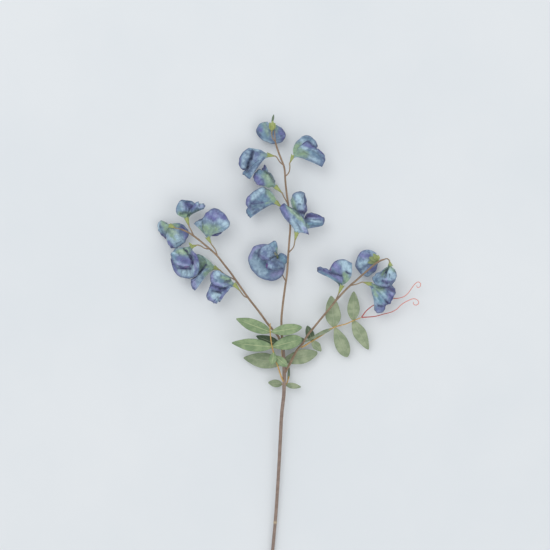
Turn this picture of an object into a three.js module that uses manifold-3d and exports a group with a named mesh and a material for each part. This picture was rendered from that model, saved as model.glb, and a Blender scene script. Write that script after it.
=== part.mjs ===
import * as THREE from 'three';
import { mergeVertices } from 'three/addons/utils/BufferGeometryUtils.js';
import Module from 'manifold-3d';

// A cut stem of sweet pea, lying on a flat surface: a main stem that splits into three flowering
// branches with seventeen blooms, four leafy sprays and a pair of curled tendrils.
// Millimetres. +Y runs along the stem to its tip, +Z points up from the surface, and the origin
// is on the surface under the middle of the stem's outline.

const wasm = await Module();
wasm.setup();

// Driving dimensions.
const clearance = 0.3;
const calyxClearance = 0.5;
const petalThickness = 0.7;
const leafThickness = 0.8;
const stemRadius = 2.5;
const branchRadius = 1.35;
const stalkRadius = 0.9;
const rachisRadius = 0.9;
const tendrilRadius = 0.7;

// Flats round each rod, and lengths along it.
const stemFacets = { sides: 8, steps: 14 };
const branchFacets = { sides: 6, steps: 22 };
const spurFacets = { sides: 5, steps: 4 };
const stalkSides = 4;
const rachisFacets = { sides: 5, steps: 9 };
const tendrilFacets = { sides: 4, steps: 24 };

// Cells of a petal from throat to rim, and of a leaflet.
const petalRows = 2;
const leafletCells = { across: 2, along: 4 };

// Largest distance that a face may move when slivers are removed.
const smoothing = 0.05;

// A petal's ribs leave the calyx along its axis and flare from its mouth, all as shares of a length.
const ribRoot = 0.3;
const ribNeck = 0.8;
const ribFlare = 0.15;
const petalStart = 0.33;

const receptacle = { middle: 0.6, halfLength: 0.34, radius: 1.4 };

// Calyx outline: distance along the axis as a share of its length, and radius in mm.
const calyxOutside = [[0, 1.1], [0.3, 2.6], [0.55, 2.9]];
const calyxInside = [[0.55, 2.2], [0.38, 1.9]];
const calyxFloor = 0.2;
const calyxTeeth = 5;
const toothLength = 1.6;
const toothFlare = 1.4;
const notchDepth = 0.8;

const mainStemRoute = [
  [-30.5, -328, 2.5], [-24.5, -259, 4], [-20, -214, 5.2], [-17, -180, 6.4], [-13.5, -128, 8.6],
  [-11, -82.5, 11], [-9, -45, 13.4], [-6.5, -21.5, 15], [-6, -5, 16], [-6, 16, 17.5], [-7, 34.2, 18.6],
];
const jointRing = { from: [-17.2, -182.5, 6.3], to: [-16.9, -178, 6.5], radius: 2.9 };

const branches = {
  top: {
    route: [
      [-7, 34.8, 18.6], [-9, 53.5, 19.6], [-9.5, 72, 20.4], [-8.5, 85, 21], [-5.5, 109.5, 22],
      [-2.5, 131, 22.8], [-1, 153.5, 23.2], [0.5, 173.5, 23.6], [1.5, 188.5, 23.8], [0, 207, 24],
      [-2.5, 226, 24.2], [-4.5, 243.5, 24.4], [-6, 262, 24.6], [-10, 273, 24.8], [-13.5, 282, 25],
      [-17, 293, 25.2],
    ],
    spur: [[-16.5, 291, 25.2], [-17.5, 299.5, 26.2], [-18, 308, 27.6]],
  },
  left: {
    route: [
      [-7, 37, 18.6], [-14, 52, 20], [-26, 66.5, 21], [-37.5, 82.5, 21.8], [-50.5, 99, 22.4],
      [-62.5, 116, 23], [-72.5, 130.5, 23.4], [-82, 142.5, 23.8], [-89.5, 152, 24.2],
      [-98, 160, 24.6], [-107, 167.5, 25], [-119, 177, 26], [-128, 182.5, 26.5], [-134, 185, 27],
    ],
  },
  right: {
    route: [
      [-5.5, 5, 17.5], [2.5, 20, 19], [10, 34.5, 20], [16.5, 42, 20.6], [23.5, 53.5, 21.2],
      [30, 61.5, 21.8], [38.5, 72, 22.4], [49, 84.5, 23], [59, 97, 23.6], [67.5, 106.5, 24.2],
      [76, 115, 24.8], [83, 121, 25.4], [92.5, 129.5, 26.4], [99.5, 135.5, 27.4], [107, 142, 28.4],
      [113.5, 146, 29], [118, 147.6, 29.4],
    ],
  },
};

// Each bloom hangs on a stalk that ends in its calyx. The throat is where the petals part, and each
// petal is a fan of ribs from the throat to its rim, whose points are measured from the throat.
// belly pushes the middle of the fan outwards. A sepal is a long pointed tooth of the calyx.
const blooms = [
  {
    name: 'top_bloom_1',
    sepal: { base: [-21.5, 311.5, 25], tip: [-19.3, 328.5, 23], width: 4.5, lift: 1, roll: 0 },
    stalk: [[-17.5, 294.5, 25], [-21, 300, 26.5], [-21.5, 307, 26.5]],
    throat: [-21, 314, 20],
    petals: [
      { kind: 'banner', belly: [0, -1, 3],
        rim: [[5, 2, -2], [12, -1, -5], [17, -10, -7], [12, -19, -6], [-2, -21, -5], [-14, -15, -6],
          [-20, -4, -7], [-14, 5, -5], [-6, 6, -2]] },
      { kind: 'wing', belly: [0, 0, 0],
        rim: [[-8, 2, -11], [-13, -6, -19], [-8, -14, -20], [-2, -10, -13]] },
      { kind: 'wing', belly: [0, 0, 0],
        rim: [[6, -1, -11], [11, -8, -19], [5, -16, -20], [-1, -11, -12]] },
    ],
  },
  {
    name: 'top_bloom_2',
    stalk: [[-6.5, 265, 24.5], [-11.5, 269, 25], [-15, 274.5, 25], [-19, 276.5, 25.5]],
    throat: [-29, 278, 25.5],
    petals: [
      { kind: 'banner', belly: [1, 2, 0],
        rim: [[-28, -20, 6], [-33, -14, 8], [-33, -7, 8], [-29, 2, 4], [-20, 9, 0], [-27, 2, -6],
          [-30, -7, -10], [-30, -14, -8], [-26, -20, -6]] },
      { kind: 'wing', belly: [0, 0, 2],
        rim: [[-14, 4, 8], [-18, -6, 10], [-23, -17, 8], [-29, -24, 6], [-25, -27, 4], [-20, -31, 2]] },
      { kind: 'wing', belly: [0, 0, -2],
        rim: [[-16, 2, -8], [-20, -10, -10], [-25, -21, -8], [-20, -28, -4]] },
    ],
  },
  {
    name: 'top_bloom_3',
    stalk: [[-5, 251, 24.5], [-0.5, 255.5, 24.5], [1, 262, 25], [1.5, 269, 25]],
    throat: [6, 279.5, 25],
    petals: [
      { kind: 'banner', belly: [-3, 2, 0],
        rim: [[24, 4, 7], [29, 8, 7], [26, 16, 8], [18, 22, 6], [10, 22, 1], [18, 20, -6],
          [25, 14, -9], [27, 7, -8], [22, 3, -7]] },
      { kind: 'wing', belly: [0, 0, 2],
        rim: [[8, 9, 8], [15, 14, 11], [23, 9, 10], [30, 5, 8], [37, -1, 6], [39, -7, 4], [35, -17, 2]] },
      { kind: 'wing', belly: [0, 0, -2],
        rim: [[9, 8, -8], [19, 9, -11], [29, 2, -9], [35, -5, -5], [34, -14, -2]] },
    ],
  },
  {
    name: 'top_bloom_4',
    stalk: [[-2, 218, 24], [-6, 225, 22], [-10, 232, 20]],
    throat: [-19, 240.5, 19],
    petals: [
      { kind: 'banner', belly: [-1, 0, 6],
        rim: [[2, 6, -6], [-4, 15, -3], [-11, 19, 0], [-21, 18, 2], [-25, 12, 3], [-24, 5, 4],
          [-20, 0, 4], [-14, -1, 5], [-6, -4, 4]] },
      { kind: 'wing', belly: [0, 0, -3],
        rim: [[-2, 13, -10], [-13, 17, -12], [-21, 12, -12], [-18, 2, -10], [-9, -2, -6]] },
      { kind: 'wing', belly: [0, 0, 0],
        rim: [[-7, 14, -6], [-8, 18, -5], [-11, 26, -4], [-15, 20, -6], [-17, 14, -7]] },
    ],
  },
  {
    name: 'top_bloom_5',
    stalk: [[0, 206, 24], [-4.5, 210, 22.5], [-10, 213.5, 21.5]],
    throat: [-18.5, 221, 20],
    petals: [
      { kind: 'banner', belly: [2, 2, 0],
        rim: [[-33, -10, 10], [-35, -4, 11], [-34, 3, 10], [-27, 10, 7], [-17, 16, 2], [-7, 15, -3],
          [-15, 11, -9], [-25, 5, -12], [-32, -3, -11], [-30, -9, -9]] },
      { kind: 'wing', belly: [0, 0, 3],
        rim: [[-28, -4, 11], [-33, -9, 9], [-35, -14, 8], [-33, -18, 7], [-30, -22, 5]] },
      { kind: 'wing', belly: [0, 0, -2],
        rim: [[-23, 1, -8], [-30, -6, -10], [-32, -14, -7], [-28, -20, -2]] },
    ],
  },
  {
    name: 'top_bloom_6',
    stalk: [[0, 156.5, 23.5], [5.5, 163, 25], [7.5, 172, 27]],
    throat: [10, 184, 28],
    petals: [
      { kind: 'banner', belly: [0, 0, 4],
        rim: [[15, -6, 3], [11, 6, 6], [7, 17, 8], [-1, 24, 9], [-11, 29, 9], [-17, 33, 8],
          [-22, 26, 6], [-19, 20, 5], [-13, 12, 4], [-8, 7, 3]] },
      { kind: 'wing', belly: [0, 0, 4],
        rim: [[-5, 23, -1], [-7, 33, -1], [-7, 41, 0], [-2, 47, 1], [5, 48, 1], [10, 45, -1],
          [12, 34, -3], [13, 25, -6]] },
      { kind: 'wing', belly: [0, 0, 4],
        rim: [[12, 21, -8], [19, 22, -4], [29, 18, -2], [34, 15, -2], [32, 6, -5], [19, 4, -7]] },
    ],
  },
  {
    name: 'top_bloom_7',
    stalk: [[-4, 120.5, 22.5], [-6.5, 125, 12], [-10.5, 133.5, 4.5], [-12.5, 142, 4]],
    throat: [-15, 154, 15],
    petals: [
      { kind: 'banner', belly: [0, 0, -3],
        rim: [[-1, 9, -2], [-8, 12, -1], [-18, 13, 0], [-29, 9, 2], [-34, -1, 3], [-34, -12, 3],
          [-26, -22, 2], [-16, -30, 1], [-6, -32, 0], [4, -28, -1], [9, -19, -2], [11, -9, -3]] },
      { kind: 'wing', belly: [-1, 1, 5],
        rim: [[1, 9, 7], [-2, 17, 7], [-10, 13, 10], [-19, 9, 12], [-24, -1, 13], [-20, -6, 14],
          [-12, -7, 14], [-8, -4, 11]] },
      { kind: 'wing', belly: [1, -1, 5],
        rim: [[-8, -6, 11], [-13, -11, 14], [-14, -17, 14], [-5, -20, 14], [7, -18, 10], [12, -10, 4],
          [12, -2, 4], [5, 2, 4]] },
      { kind: 'keel', belly: [0, 0, 1],
        rim: [[-3, -1, 5], [-5, -4, 6], [-2, -4, 6], [1, -2, 5]] },
    ],
  },
  {
    name: 'left_bloom_1',
    stalk: [[-119, 177, 26], [-122, 184, 26.5], [-125, 190.5, 27]],
    throat: [-128.5, 201.5, 27],
    petals: [
      { kind: 'banner', belly: [-9, -2, 0],
        rim: [[4, 4, 7], [3, 12, 8], [-2, 18, 6], [-8, 19, 2], [-1, 20, -5], [7, 19, -9], [12, 14, -9],
          [10, 7, -7]] },
      { kind: 'wing', belly: [0, 0, 1],
        rim: [[8, 11, 3], [15, 18, 2], [18, 15, 1], [22, 16, 0], [24, 12, -2], [22, 9, -3]] },
      { kind: 'wing', belly: [0, 0, -1],
        rim: [[10, 12, -5], [17, 16, -6], [21, 13, -5], [18, 9, -4]] },
    ],
  },
  {
    name: 'left_bloom_2',
    stalk: [[-134, 185, 27], [-138, 186, 27.5], [-142, 187, 27]],
    throat: [-150, 190.5, 21],
    petals: [
      { kind: 'banner', belly: [0, -3, 2],
        rim: [[7, 3, -5], [17, 1, -6], [24, -8, -7], [22, -17, -7], [15, -25, -6], [4, -29, -5],
          [-2, -23, -5], [-4, -13, -4]] },
      { kind: 'wing', belly: [-2, 0, 3],
        rim: [[-3, 3, -4], [-11, 6, -7], [-15, -2, -9], [-12, -10, -12], [-5, -17, -14]] },
      { kind: 'wing', belly: [0, 0, 0],
        rim: [[-6, -1, -15], [-8, -10, -21], [-1, -17, -21], [4, -12, -18], [4, -6, -15]] },
    ],
  },
  {
    name: 'left_bloom_3',
    stalk: [[-89.5, 152, 24], [-91.5, 159, 25.5], [-97.5, 168, 27]],
    throat: [-102.5, 177, 28],
    petals: [
      { kind: 'banner', belly: [0, 0, 5],
        rim: [[-5, 5, 0], [-6, 14, 2], [-4, 23, 4], [3, 31, 6], [11, 34, 6], [19, 30, 5], [26, 22, 3],
          [29, 15, 1], [26, 9, 0], [19, 5, -1]] },
      { kind: 'wing', belly: [0, 0, -2],
        rim: [[8, 1, -9], [14, 1, -10], [20, 6, -12], [21, 16, -15], [14, 21, -15]] },
      { kind: 'wing', belly: [0, 0, 1],
        rim: [[-2, 26, -11], [-8, 21, -10], [-16, 16, -9], [-12, 13, -8], [-6, 9, -6]] },
    ],
  },
  {
    name: 'left_bloom_4',
    sepal: { base: [-118.5, 165, 29.4], tip: [-124, 168.5, 33], width: 3, lift: 0.5, roll: 0 },
    stalk: [[-99, 160.5, 24.5], [-105, 161.5, 26], [-110, 164.5, 27], [-115.5, 165, 28]],
    throat: [-124.5, 162.5, 28.5],
    petals: [
      { kind: 'banner', belly: [0, 0, -2],
        rim: [[4, -4, -2], [11, -12, -2], [13, -22, 0], [11, -33, 0], [3, -38, 0], [-7, -38, 0],
          [-16, -33, -2], [-21, -23, -2], [-23, -14, -4]] },
      { kind: 'wing', belly: [0, 0, 5],
        rim: [[-4, -2, 4], [2, -11, 10], [4, -20, 12], [-1, -25, 12], [-12, -24, 12], [-19, -18, 8],
          [-22, -9, 4], [-17, -2, 2], [-9, 0, 0]] },
    ],
  },
  {
    name: 'left_bloom_5',
    stalk: [[-66, 121.5, 23], [-75, 126, 20], [-83, 131, 17], [-88, 135, 15.5]],
    throat: [-95.5, 138.5, 15],
    petals: [
      { kind: 'banner', belly: [1, 2, 1],
        rim: [[-11, -3, 4], [-8, 6, 5], [-11, 12, 1], [-17, 16, -2], [-26, 12, -6], [-31, 4, -7],
          [-30, -6, -6], [-24, -13, -3]] },
      { kind: 'wing', belly: [0, 0, 2],
        rim: [[-12, -3, 5], [-20, -11, 6], [-27, -16, 5], [-27, -21, 4], [-26, -26, 3], [-23, -29, 1],
          [-18, -21, -1], [-12, -14, -3]] },
    ],
  },
  {
    name: 'left_bloom_6',
    stalk: [[-51, 99.5, 22.5], [-56, 102, 23.5], [-62, 109.5, 25]],
    throat: [-70.5, 119, 26],
    petals: [
      { kind: 'banner', belly: [1, 1, 4],
        rim: [[-3, 7, 3], [-11, 11, 6], [-18, 15, 8], [-25, 13, 9], [-27, 6, 11], [-25, -2, 12],
          [-17, -6, 12], [-10, -7, 9]] },
      { kind: 'wing', belly: [0, 0, 3],
        rim: [[-24, -2, 2], [-29, -7, 2], [-32, -19, 1], [-26, -24, 1], [-22, -26, 0], [-16, -23, -2],
          [-8, -13, -3], [-3, -8, -3]] },
      { kind: 'wing', belly: [0, 0, -2.5],
        rim: [[-23, 7, -7], [-28, -3, -10], [-28, -13, -11], [-21, -20, -10], [-13, -12, -8]] },
    ],
  },
  {
    name: 'right_bloom_1',
    stalk: [[57.5, 96, 23.5], [60, 101, 24], [62, 105.5, 24.5]],
    throat: [67, 118, 25],
    petals: [
      { kind: 'banner', belly: [6, -1, 0],
        rim: [[-13, 10, 5], [-17, 16, 6], [-11, 26, 7], [0, 30, 6], [10, 25, 2], [1, 28, -6],
          [-10, 24, -8], [-14, 16, -7], [-11, 9, -5]] },
      { kind: 'wing', belly: [0, 0, 2],
        rim: [[0, 8, 7], [-10, 12, 9], [-21, 18, 7], [-31, 20, 3], [-32, 15, 1], [-26, 11, 0]] },
      { kind: 'wing', belly: [0, 0, -1],
        rim: [[-2, 7, -7], [-11, 10, -8], [-22, 16, -5], [-28, 15, -2]] },
    ],
  },
  {
    name: 'right_bloom_2',
    stalk: [[111, 144, 27.5], [112, 144.5, 24.5]],
    throat: [107.5, 150.5, 19],
    petals: [
      { kind: 'banner', belly: [-1, 0, 4],
        rim: [[2, 5, -2], [-6, 9, -4], [-16, 8, -5], [-22, -1, -6], [-24, -11, -6], [-17, -21, -6],
          [-8, -24, -5], [1, -17, -4], [4, -8, -3]] },
      { kind: 'wing', belly: [0, 0, 0],
        rim: [[-5, 4, -12], [-14, 0, -18], [-15, -8, -19], [-8, -10, -13]] },
      { kind: 'wing', belly: [0, 0, 0],
        rim: [[-1, -5, -13], [-2, -12, -18], [-10, -17, -19], [-9, -10, -12]] },
    ],
  },
  {
    name: 'right_bloom_3',
    stalk: [[118, 147.5, 29.5], [121, 148.5, 30], [124, 147, 30], [125, 144.5, 29.5]],
    throat: [126, 139, 28],
    petals: [
      { kind: 'banner', belly: [0, 0, -1],
        rim: [[-5, -1, 2], [-13, -7, 3], [-22, -13, 3], [-20, -21, 2], [-12, -25, 1], [-3, -25, 0],
          [3, -22, -1], [8, -12, -2], [6, -4, -1]] },
      { kind: 'wing', belly: [0, 0, 5],
        rim: [[2, -2, 5], [6, -7, 9], [6, -14, 11], [1, -20, 12], [-8, -20, 12], [-11, -17, 11],
          [-6, -7, 8]] },
    ],
  },
  {
    name: 'right_bloom_4',
    stalk: [[76, 115, 25], [85, 117, 23.5], [93.5, 119, 21.5]],
    throat: [105, 116, 19.5],
    petals: [
      { kind: 'banner', belly: [1, 0, 3],
        rim: [[18, 1, -6], [26, -3, -2], [28, -9, 6], [24, -17, 8], [21, -23, 8], [15, -25, 6],
          [11, -20, 6]] },
      { kind: 'wing', belly: [-2, 0, 4],
        rim: [[12, -15, 6], [15, -23, 8], [15, -28, 6], [12, -34, 4], [4, -35, 0], [2, -31, -4]] },
      { kind: 'wing', belly: [0, 0, -1],
        rim: [[19, -6, -6], [19, -16, -6], [12, -25, -4], [5, -30, -2]] },
    ],
  },
];

// Leafy sprays: a rachis with leaflets from base to tip. lift arches the midrib, roll turns the blade
// about it in degrees.
const leafSprays = [
  {
    name: 'leaf_spray_front',
    rachis: [
      [-6.5, -6, 16.5], [-9, -0.5, 20], [-14, 14.5, 25], [-17.5, 26, 28.5], [-21, 38.5, 31],
      [-23.5, 57, 33], [-23.5, 68.5, 34],
    ],
    leaflets: [
      { base: [-23, 57.5, 33], tip: [-65.5, 74, 34], width: 16, lift: 4, roll: 12 },
      { base: [-23, 57.5, 33], tip: [16, 63.5, 34], width: 14, lift: 4, roll: -10 },
      { base: [-21, 39, 31], tip: [-71, 44, 31], width: 16, lift: 4, roll: 8 },
      { base: [-21, 39, 31], tip: [16, 45.5, 33], width: 17, lift: 4, roll: -12 },
      { base: [-18, 27, 28.5], tip: [-25, 19, 36], width: 9, lift: 2, roll: 10 },
      { base: [-16.5, 24, 28], tip: [-1, 16.5, 31], width: 10, lift: 3, roll: 10 },
    ],
  },
  {
    name: 'leaf_spray_back',
    rachis: [[-6.5, -3, 15.5], [-7, 4, 12.5], [-8, 20, 12], [-9, 34, 12.5], [-10, 44, 13]],
    leaflets: [
      { base: [-8, 18.5, 12], tip: [-57, 24, 9], width: 20, lift: 3, roll: -8 },
      { base: [-8, 20.5, 12], tip: [36, 30.5, 9], width: 17.5, lift: 3, roll: 8 },
      { base: [-9.5, 39, 12.5], tip: [-41, 51.5, 9], width: 13, lift: 2, roll: 6 },
      { base: [-9.5, 39.5, 12.5], tip: [19, 48, 10], width: 15, lift: 2, roll: -6 },
    ],
  },
  {
    name: 'leaf_spray_right',
    rachis: [
      [15.5, 37.5, 18.2], [18.5, 39, 17.2], [29, 45.5, 15.5], [41, 52.5, 14.5], [56.5, 62.5, 14],
      [72, 67, 13.6], [81, 71, 13.4], [90.2, 74.7, 13.4],
    ],
    leaflets: [
      { base: [56.5, 62.5, 14], tip: [53, 102, 12], width: 20, lift: 3, roll: 6 },
      { base: [57.5, 63, 14], tip: [74.5, 24.5, 10], width: 17, lift: 3, roll: 8 },
      { base: [55, 61.5, 14], tip: [20, 44.5, 18], width: 9, lift: 1, roll: 60 },
      { base: [80.5, 71, 13.4], tip: [81.5, 107.5, 11], width: 15.5, lift: 3, roll: -6 },
      { base: [80.5, 71, 13.4], tip: [100, 34.5, 9], width: 16, lift: 4, roll: 10 },
      { base: [29, 45.5, 15.5], tip: [23, 64.5, 12], width: 11, lift: 1, roll: 0 },
      { base: [29, 45.5, 15.5], tip: [40.5, 32.5, 12], width: 10, lift: 1, roll: 0 },
    ],
  },
  {
    name: 'leaf_spray_low',
    rachis: [[-9, -9, 10.8], [-4, -9.5, 10.6], [-1.5, -4.5, 11], [0, 1, 11.5]],
    leaflets: [
      { base: [-8.5, -9, 10.8], tip: [-26, -7, 9], width: 10, lift: 1, roll: 6 },
      { base: [-4, -9.5, 10.6], tip: [15, -12.5, 12], width: 7.5, lift: 2, roll: -10 },
      { base: [-1.5, -5, 11], tip: [0.5, 12, 9], width: 4, lift: 1, roll: 40 },
    ],
  },
];

const tendrils = [
  [
    [91, 75, 13.4], [97, 83, 13], [106, 90, 11.6], [117.5, 95, 10.2], [130, 98.5, 10.8],
    [137, 99, 12], [144, 101, 13], [149, 105, 14], [154.5, 112.5, 15], [158.5, 117.5, 15.6],
    [162, 119.5, 16], [165, 117, 16.2], [164, 113.5, 16.2], [161, 112.5, 16], [160, 115, 15.8],
  ],
  [
    [91, 75, 13.4], [99.5, 75.5, 13.6], [109, 76.5, 14], [118, 79, 14.4], [129, 82, 15],
    [134.5, 85, 15.4], [141.5, 91.5, 16], [149, 96, 16.6], [156.5, 98.5, 17], [161, 96.5, 17.2],
    [162.5, 93, 17.2], [159, 90.5, 17], [156, 92, 16.8], [156, 94.5, 16.6],
  ],
];

const finishes = {
  stem: { color: 0x7d6e64, roughness: 0.8, metalness: 0 },
  branch: { color: 0x876c5a, roughness: 0.8, metalness: 0 },
  petal: { color: 0x7896b4, roughness: 0.75, metalness: 0 },
  calyx: { color: 0xa5af55, roughness: 0.7, metalness: 0 },
  leaf: { color: 0x7d9d73, roughness: 0.7, metalness: 0 },
  tendril: { color: 0xc8645a, roughness: 0.6, metalness: 0 },
};

function vector(point) {
  return new THREE.Vector3(...point);
}

// Turns a closed geometry into a solid that can be joined and cut.
function toSolid(geometry) {
  geometry.deleteAttribute('normal');
  geometry.deleteAttribute('uv');
  const sameCorner = 0.001;
  const merged = mergeVertices(geometry, sameCorner);
  const corners = merged.index.array;
  const triVerts = [];
  for (let i = 0; i < corners.length; i += 3) {
    const [a, b, c] = corners.slice(i, i + 3);
    if (a !== b && b !== c && c !== a) triVerts.push(a, b, c);
  }
  return new wasm.Manifold(new wasm.Mesh({
    numProp: 3,
    vertProperties: new Float32Array(merged.attributes.position.array),
    triVerts: new Uint32Array(triVerts),
  }));
}

function join(solids) {
  return solids.reduce((whole, solid) => whole.add(solid));
}

// The largest connected body of a solid, so that no loose scrap of a cut is kept.
function largestBody(solid) {
  return solid.decompose().reduce((best, body) => (body.volume() > best.volume() ? body : best));
}

function addPiece(name, solid, finish) {
  const { vertProperties, triVerts } = largestBody(solid.simplify(smoothing)).getMesh();
  const geometry = new THREE.BufferGeometry();
  geometry.setAttribute('position', new THREE.BufferAttribute(vertProperties, 3));
  geometry.setIndex(new THREE.BufferAttribute(triVerts, 1));
  geometry.computeVertexNormals();
  const material = new THREE.MeshStandardMaterial({ ...finishes[finish], side: THREE.DoubleSide });
  const mesh = new THREE.Mesh(geometry, material);
  mesh.name = name;
  spray.add(mesh);
}

// A round rod along a smooth route.
function rod(route, radius, { sides, steps }) {
  const section = new THREE.Shape();
  for (let i = 0; i < sides; i += 1) {
    const angle = (2 * Math.PI * i) / sides;
    section.lineTo(radius * Math.cos(angle), radius * Math.sin(angle));
  }
  const extrudePath = new THREE.CatmullRomCurve3(route.map(vector));
  return toSolid(new THREE.ExtrudeGeometry(section, { steps, bevelEnabled: false, extrudePath }));
}

// A closed blade about a surface given for u across and v along it, both from 0 to 1. Both faces are
// split into triangles alike. margin widens the blade beyond its edges.
function blade(surface, across, along, thickness, margin = 0) {
  const step = 0.02;
  const faces = [[], []];
  for (let j = 0; j <= along; j += 1) {
    for (let i = 0; i <= across; i += 1) {
      const u = i / across;
      const v = j / along;
      const point = surface(u, v);
      const acrossTangent = surface(Math.min(u + step, 1), v).sub(surface(Math.max(u - step, 0), v));
      const alongTangent = surface(u, Math.min(v + step, 1)).sub(surface(u, Math.max(v - step, 0)));
      acrossTangent.normalize();
      alongTangent.normalize();
      const normal = acrossTangent.clone().cross(alongTangent).normalize();
      if (i === 0) point.addScaledVector(acrossTangent, -margin);
      if (i === across) point.addScaledVector(acrossTangent, margin);
      if (j === 0) point.addScaledVector(alongTangent, -margin);
      if (j === along) point.addScaledVector(alongTangent, margin);
      faces[0].push(point.clone().addScaledVector(normal, thickness / 2));
      faces[1].push(point.clone().addScaledVector(normal, -thickness / 2));
    }
  }

  const row = across + 1;
  const back = faces[0].length;
  const corners = [];
  for (let j = 0; j < along; j += 1) {
    for (let i = 0; i < across; i += 1) {
      const a = j * row + i;
      const b = a + 1;
      const c = b + row;
      const d = a + row;
      corners.push(a, b, c, a, c, d);
      corners.push(a + back, c + back, b + back, a + back, d + back, c + back);
    }
  }

  const outline = [];
  for (let i = 0; i < across; i += 1) outline.push(i);
  for (let j = 0; j < along; j += 1) outline.push(j * row + across);
  for (let i = across; i > 0; i -= 1) outline.push(along * row + i);
  for (let j = along; j > 0; j -= 1) outline.push(j * row);
  outline.forEach((from, i) => {
    const to = outline[(i + 1) % outline.length];
    corners.push(to, from, from + back, to, from + back, to + back);
  });

  const geometry = new THREE.BufferGeometry().setFromPoints([...faces[0], ...faces[1]]);
  geometry.setIndex(corners);
  return toSolid(geometry);
}

function petalSurface(bloom, petal) {
  const base = vector(bloom.stalk.at(-1));
  const throat = vector(bloom.throat);
  const rim = new THREE.CatmullRomCurve3(petal.rim.map((point) => vector(point).add(throat)));
  const belly = vector(petal.belly);
  const root = base.clone().lerp(throat, ribRoot);
  const neck = base.clone().lerp(throat, ribNeck);
  return (u, v) => {
    const lip = rim.getPoint(u);
    const rib = new THREE.CubicBezierCurve3(root, neck, throat.clone().lerp(lip, ribFlare), lip);
    const point = rib.getPoint(petalStart + (1 - petalStart) * v);
    point.addScaledVector(belly, 4 * v * (1 - v) * Math.sin(Math.PI * u));
    point.z = Math.max(point.z, petalThickness / 2);
    return point;
  };
}

// The petals of one bloom, fused on the small core that they grow from. grow thickens them all round.
function petalsSolid(bloom, grow = 0) {
  const base = vector(bloom.stalk.at(-1));
  const throat = vector(bloom.throat);
  const length = base.distanceTo(throat);
  const core = new THREE.SphereGeometry(1, 6, 4);
  const radius = receptacle.radius + grow;
  core.scale(radius, receptacle.halfLength * length + grow, radius);
  core.applyQuaternion(new THREE.Quaternion().setFromUnitVectors(
    new THREE.Vector3(0, 1, 0),
    throat.clone().sub(base).normalize(),
  ));
  core.translate(...base.clone().lerp(throat, receptacle.middle));
  const petals = bloom.petals.map((petal) => {
    const across = petal.rim.length - 1;
    return blade(petalSurface(bloom, petal), across, petalRows, petalThickness + 2 * grow, grow);
  });
  return join([toSolid(core), ...petals]);
}

// A toothed cup round the foot of the petals, open towards them.
function calyxSolid(bloom) {
  const base = vector(bloom.stalk.at(-1));
  const throat = vector(bloom.throat);
  const length = base.distanceTo(throat);
  const profile = [
    new THREE.Vector2(0, 0),
    ...calyxOutside.map(([share, radius]) => new THREE.Vector2(radius, share * length)),
    ...calyxInside.map(([share, radius]) => new THREE.Vector2(radius, share * length)),
    new THREE.Vector2(0, calyxFloor * length),
  ];
  const cup = new THREE.LatheGeometry(profile, 2 * calyxTeeth);
  const position = cup.attributes.position;
  const rows = profile.length;
  const mouthRows = [calyxOutside.length, calyxOutside.length + 1];
  for (let i = 0; i < position.count; i += 1) {
    if (mouthRows.includes(i % rows)) {
      const isTooth = Math.floor(i / rows) % 2 === 0;
      const reach = isTooth ? toothLength : -notchDepth;
      const spread = isTooth ? 1 + toothFlare / calyxOutside.at(-1)[1] : 1;
      const x = position.getX(i) * spread;
      const z = position.getZ(i) * spread;
      position.setXYZ(i, x, position.getY(i) + reach, z);
    }
  }
  cup.translate(0, clearance, 0);
  cup.applyQuaternion(new THREE.Quaternion().setFromUnitVectors(
    new THREE.Vector3(0, 1, 0),
    throat.clone().sub(base).normalize(),
  ));
  cup.translate(...base);
  const sepals = bloom.sepal ? [leafletSolid(bloom.sepal)] : [];
  return join([toSolid(cup), ...sepals]).subtract(petalsSolid(bloom, calyxClearance));
}

// A bloom's stalk, straight where it meets the calyx.
function stalkSolid(bloom) {
  const base = vector(bloom.stalk.at(-1));
  const axis = vector(bloom.throat).sub(base).normalize();
  const straight = base.clone().addScaledVector(axis, -2 * stalkRadius);
  const route = [...bloom.stalk.slice(0, -1), straight.toArray(), base.toArray()];
  return rod(route, stalkRadius, { sides: stalkSides, steps: route.length + 1 });
}

function branchSolid(name) {
  const { route, spur } = branches[name];
  const solids = [rod(route, branchRadius, branchFacets)];
  if (spur) solids.push(rod(spur, stalkRadius, spurFacets));
  const carried = blooms.filter((bloom) => bloom.name.startsWith(name));
  return join([...solids, ...carried.map(stalkSolid)]);
}

// A leaflet blade: a pointed oval, arched along its midrib and slightly folded about it.
function leafletSolid({ base, tip, width, lift, roll }) {
  const from = vector(base);
  const to = vector(tip);
  const axis = to.clone().sub(from).normalize();
  const sideways = new THREE.Vector3(0, 0, 1).cross(axis).normalize();
  sideways.applyAxisAngle(axis, THREE.MathUtils.degToRad(roll));
  const upwards = axis.clone().cross(sideways);
  const narrowest = 0.6;
  const fold = 0.16;
  const surface = (u, v) => {
    const halfWidth = narrowest + (width / 2 - narrowest) * Math.sin(Math.PI * v ** 0.85) ** 0.8;
    const side = 1 - 2 * u;
    const point = from.clone().lerp(to, v);
    point.z += lift * Math.sin(Math.PI * v);
    point.addScaledVector(sideways, side * halfWidth);
    return point.addScaledVector(upwards, fold * Math.abs(side) * halfWidth);
  };
  return blade(surface, leafletCells.across, leafletCells.along, leafThickness);
}

function leafSpraySolid({ rachis, leaflets }) {
  const stalk = rod(rachis, rachisRadius, rachisFacets);
  return join([stalk, ...leaflets.map(leafletSolid)]);
}

const spray = new THREE.Group();

const thickStem = rod(mainStemRoute, stemRadius + clearance, stemFacets);
const thickTopBranch = rod(branches.top.route, branchRadius + clearance, branchFacets);
const thickRightBranch = rod(branches.right.route, branchRadius + clearance, branchFacets);

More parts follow.
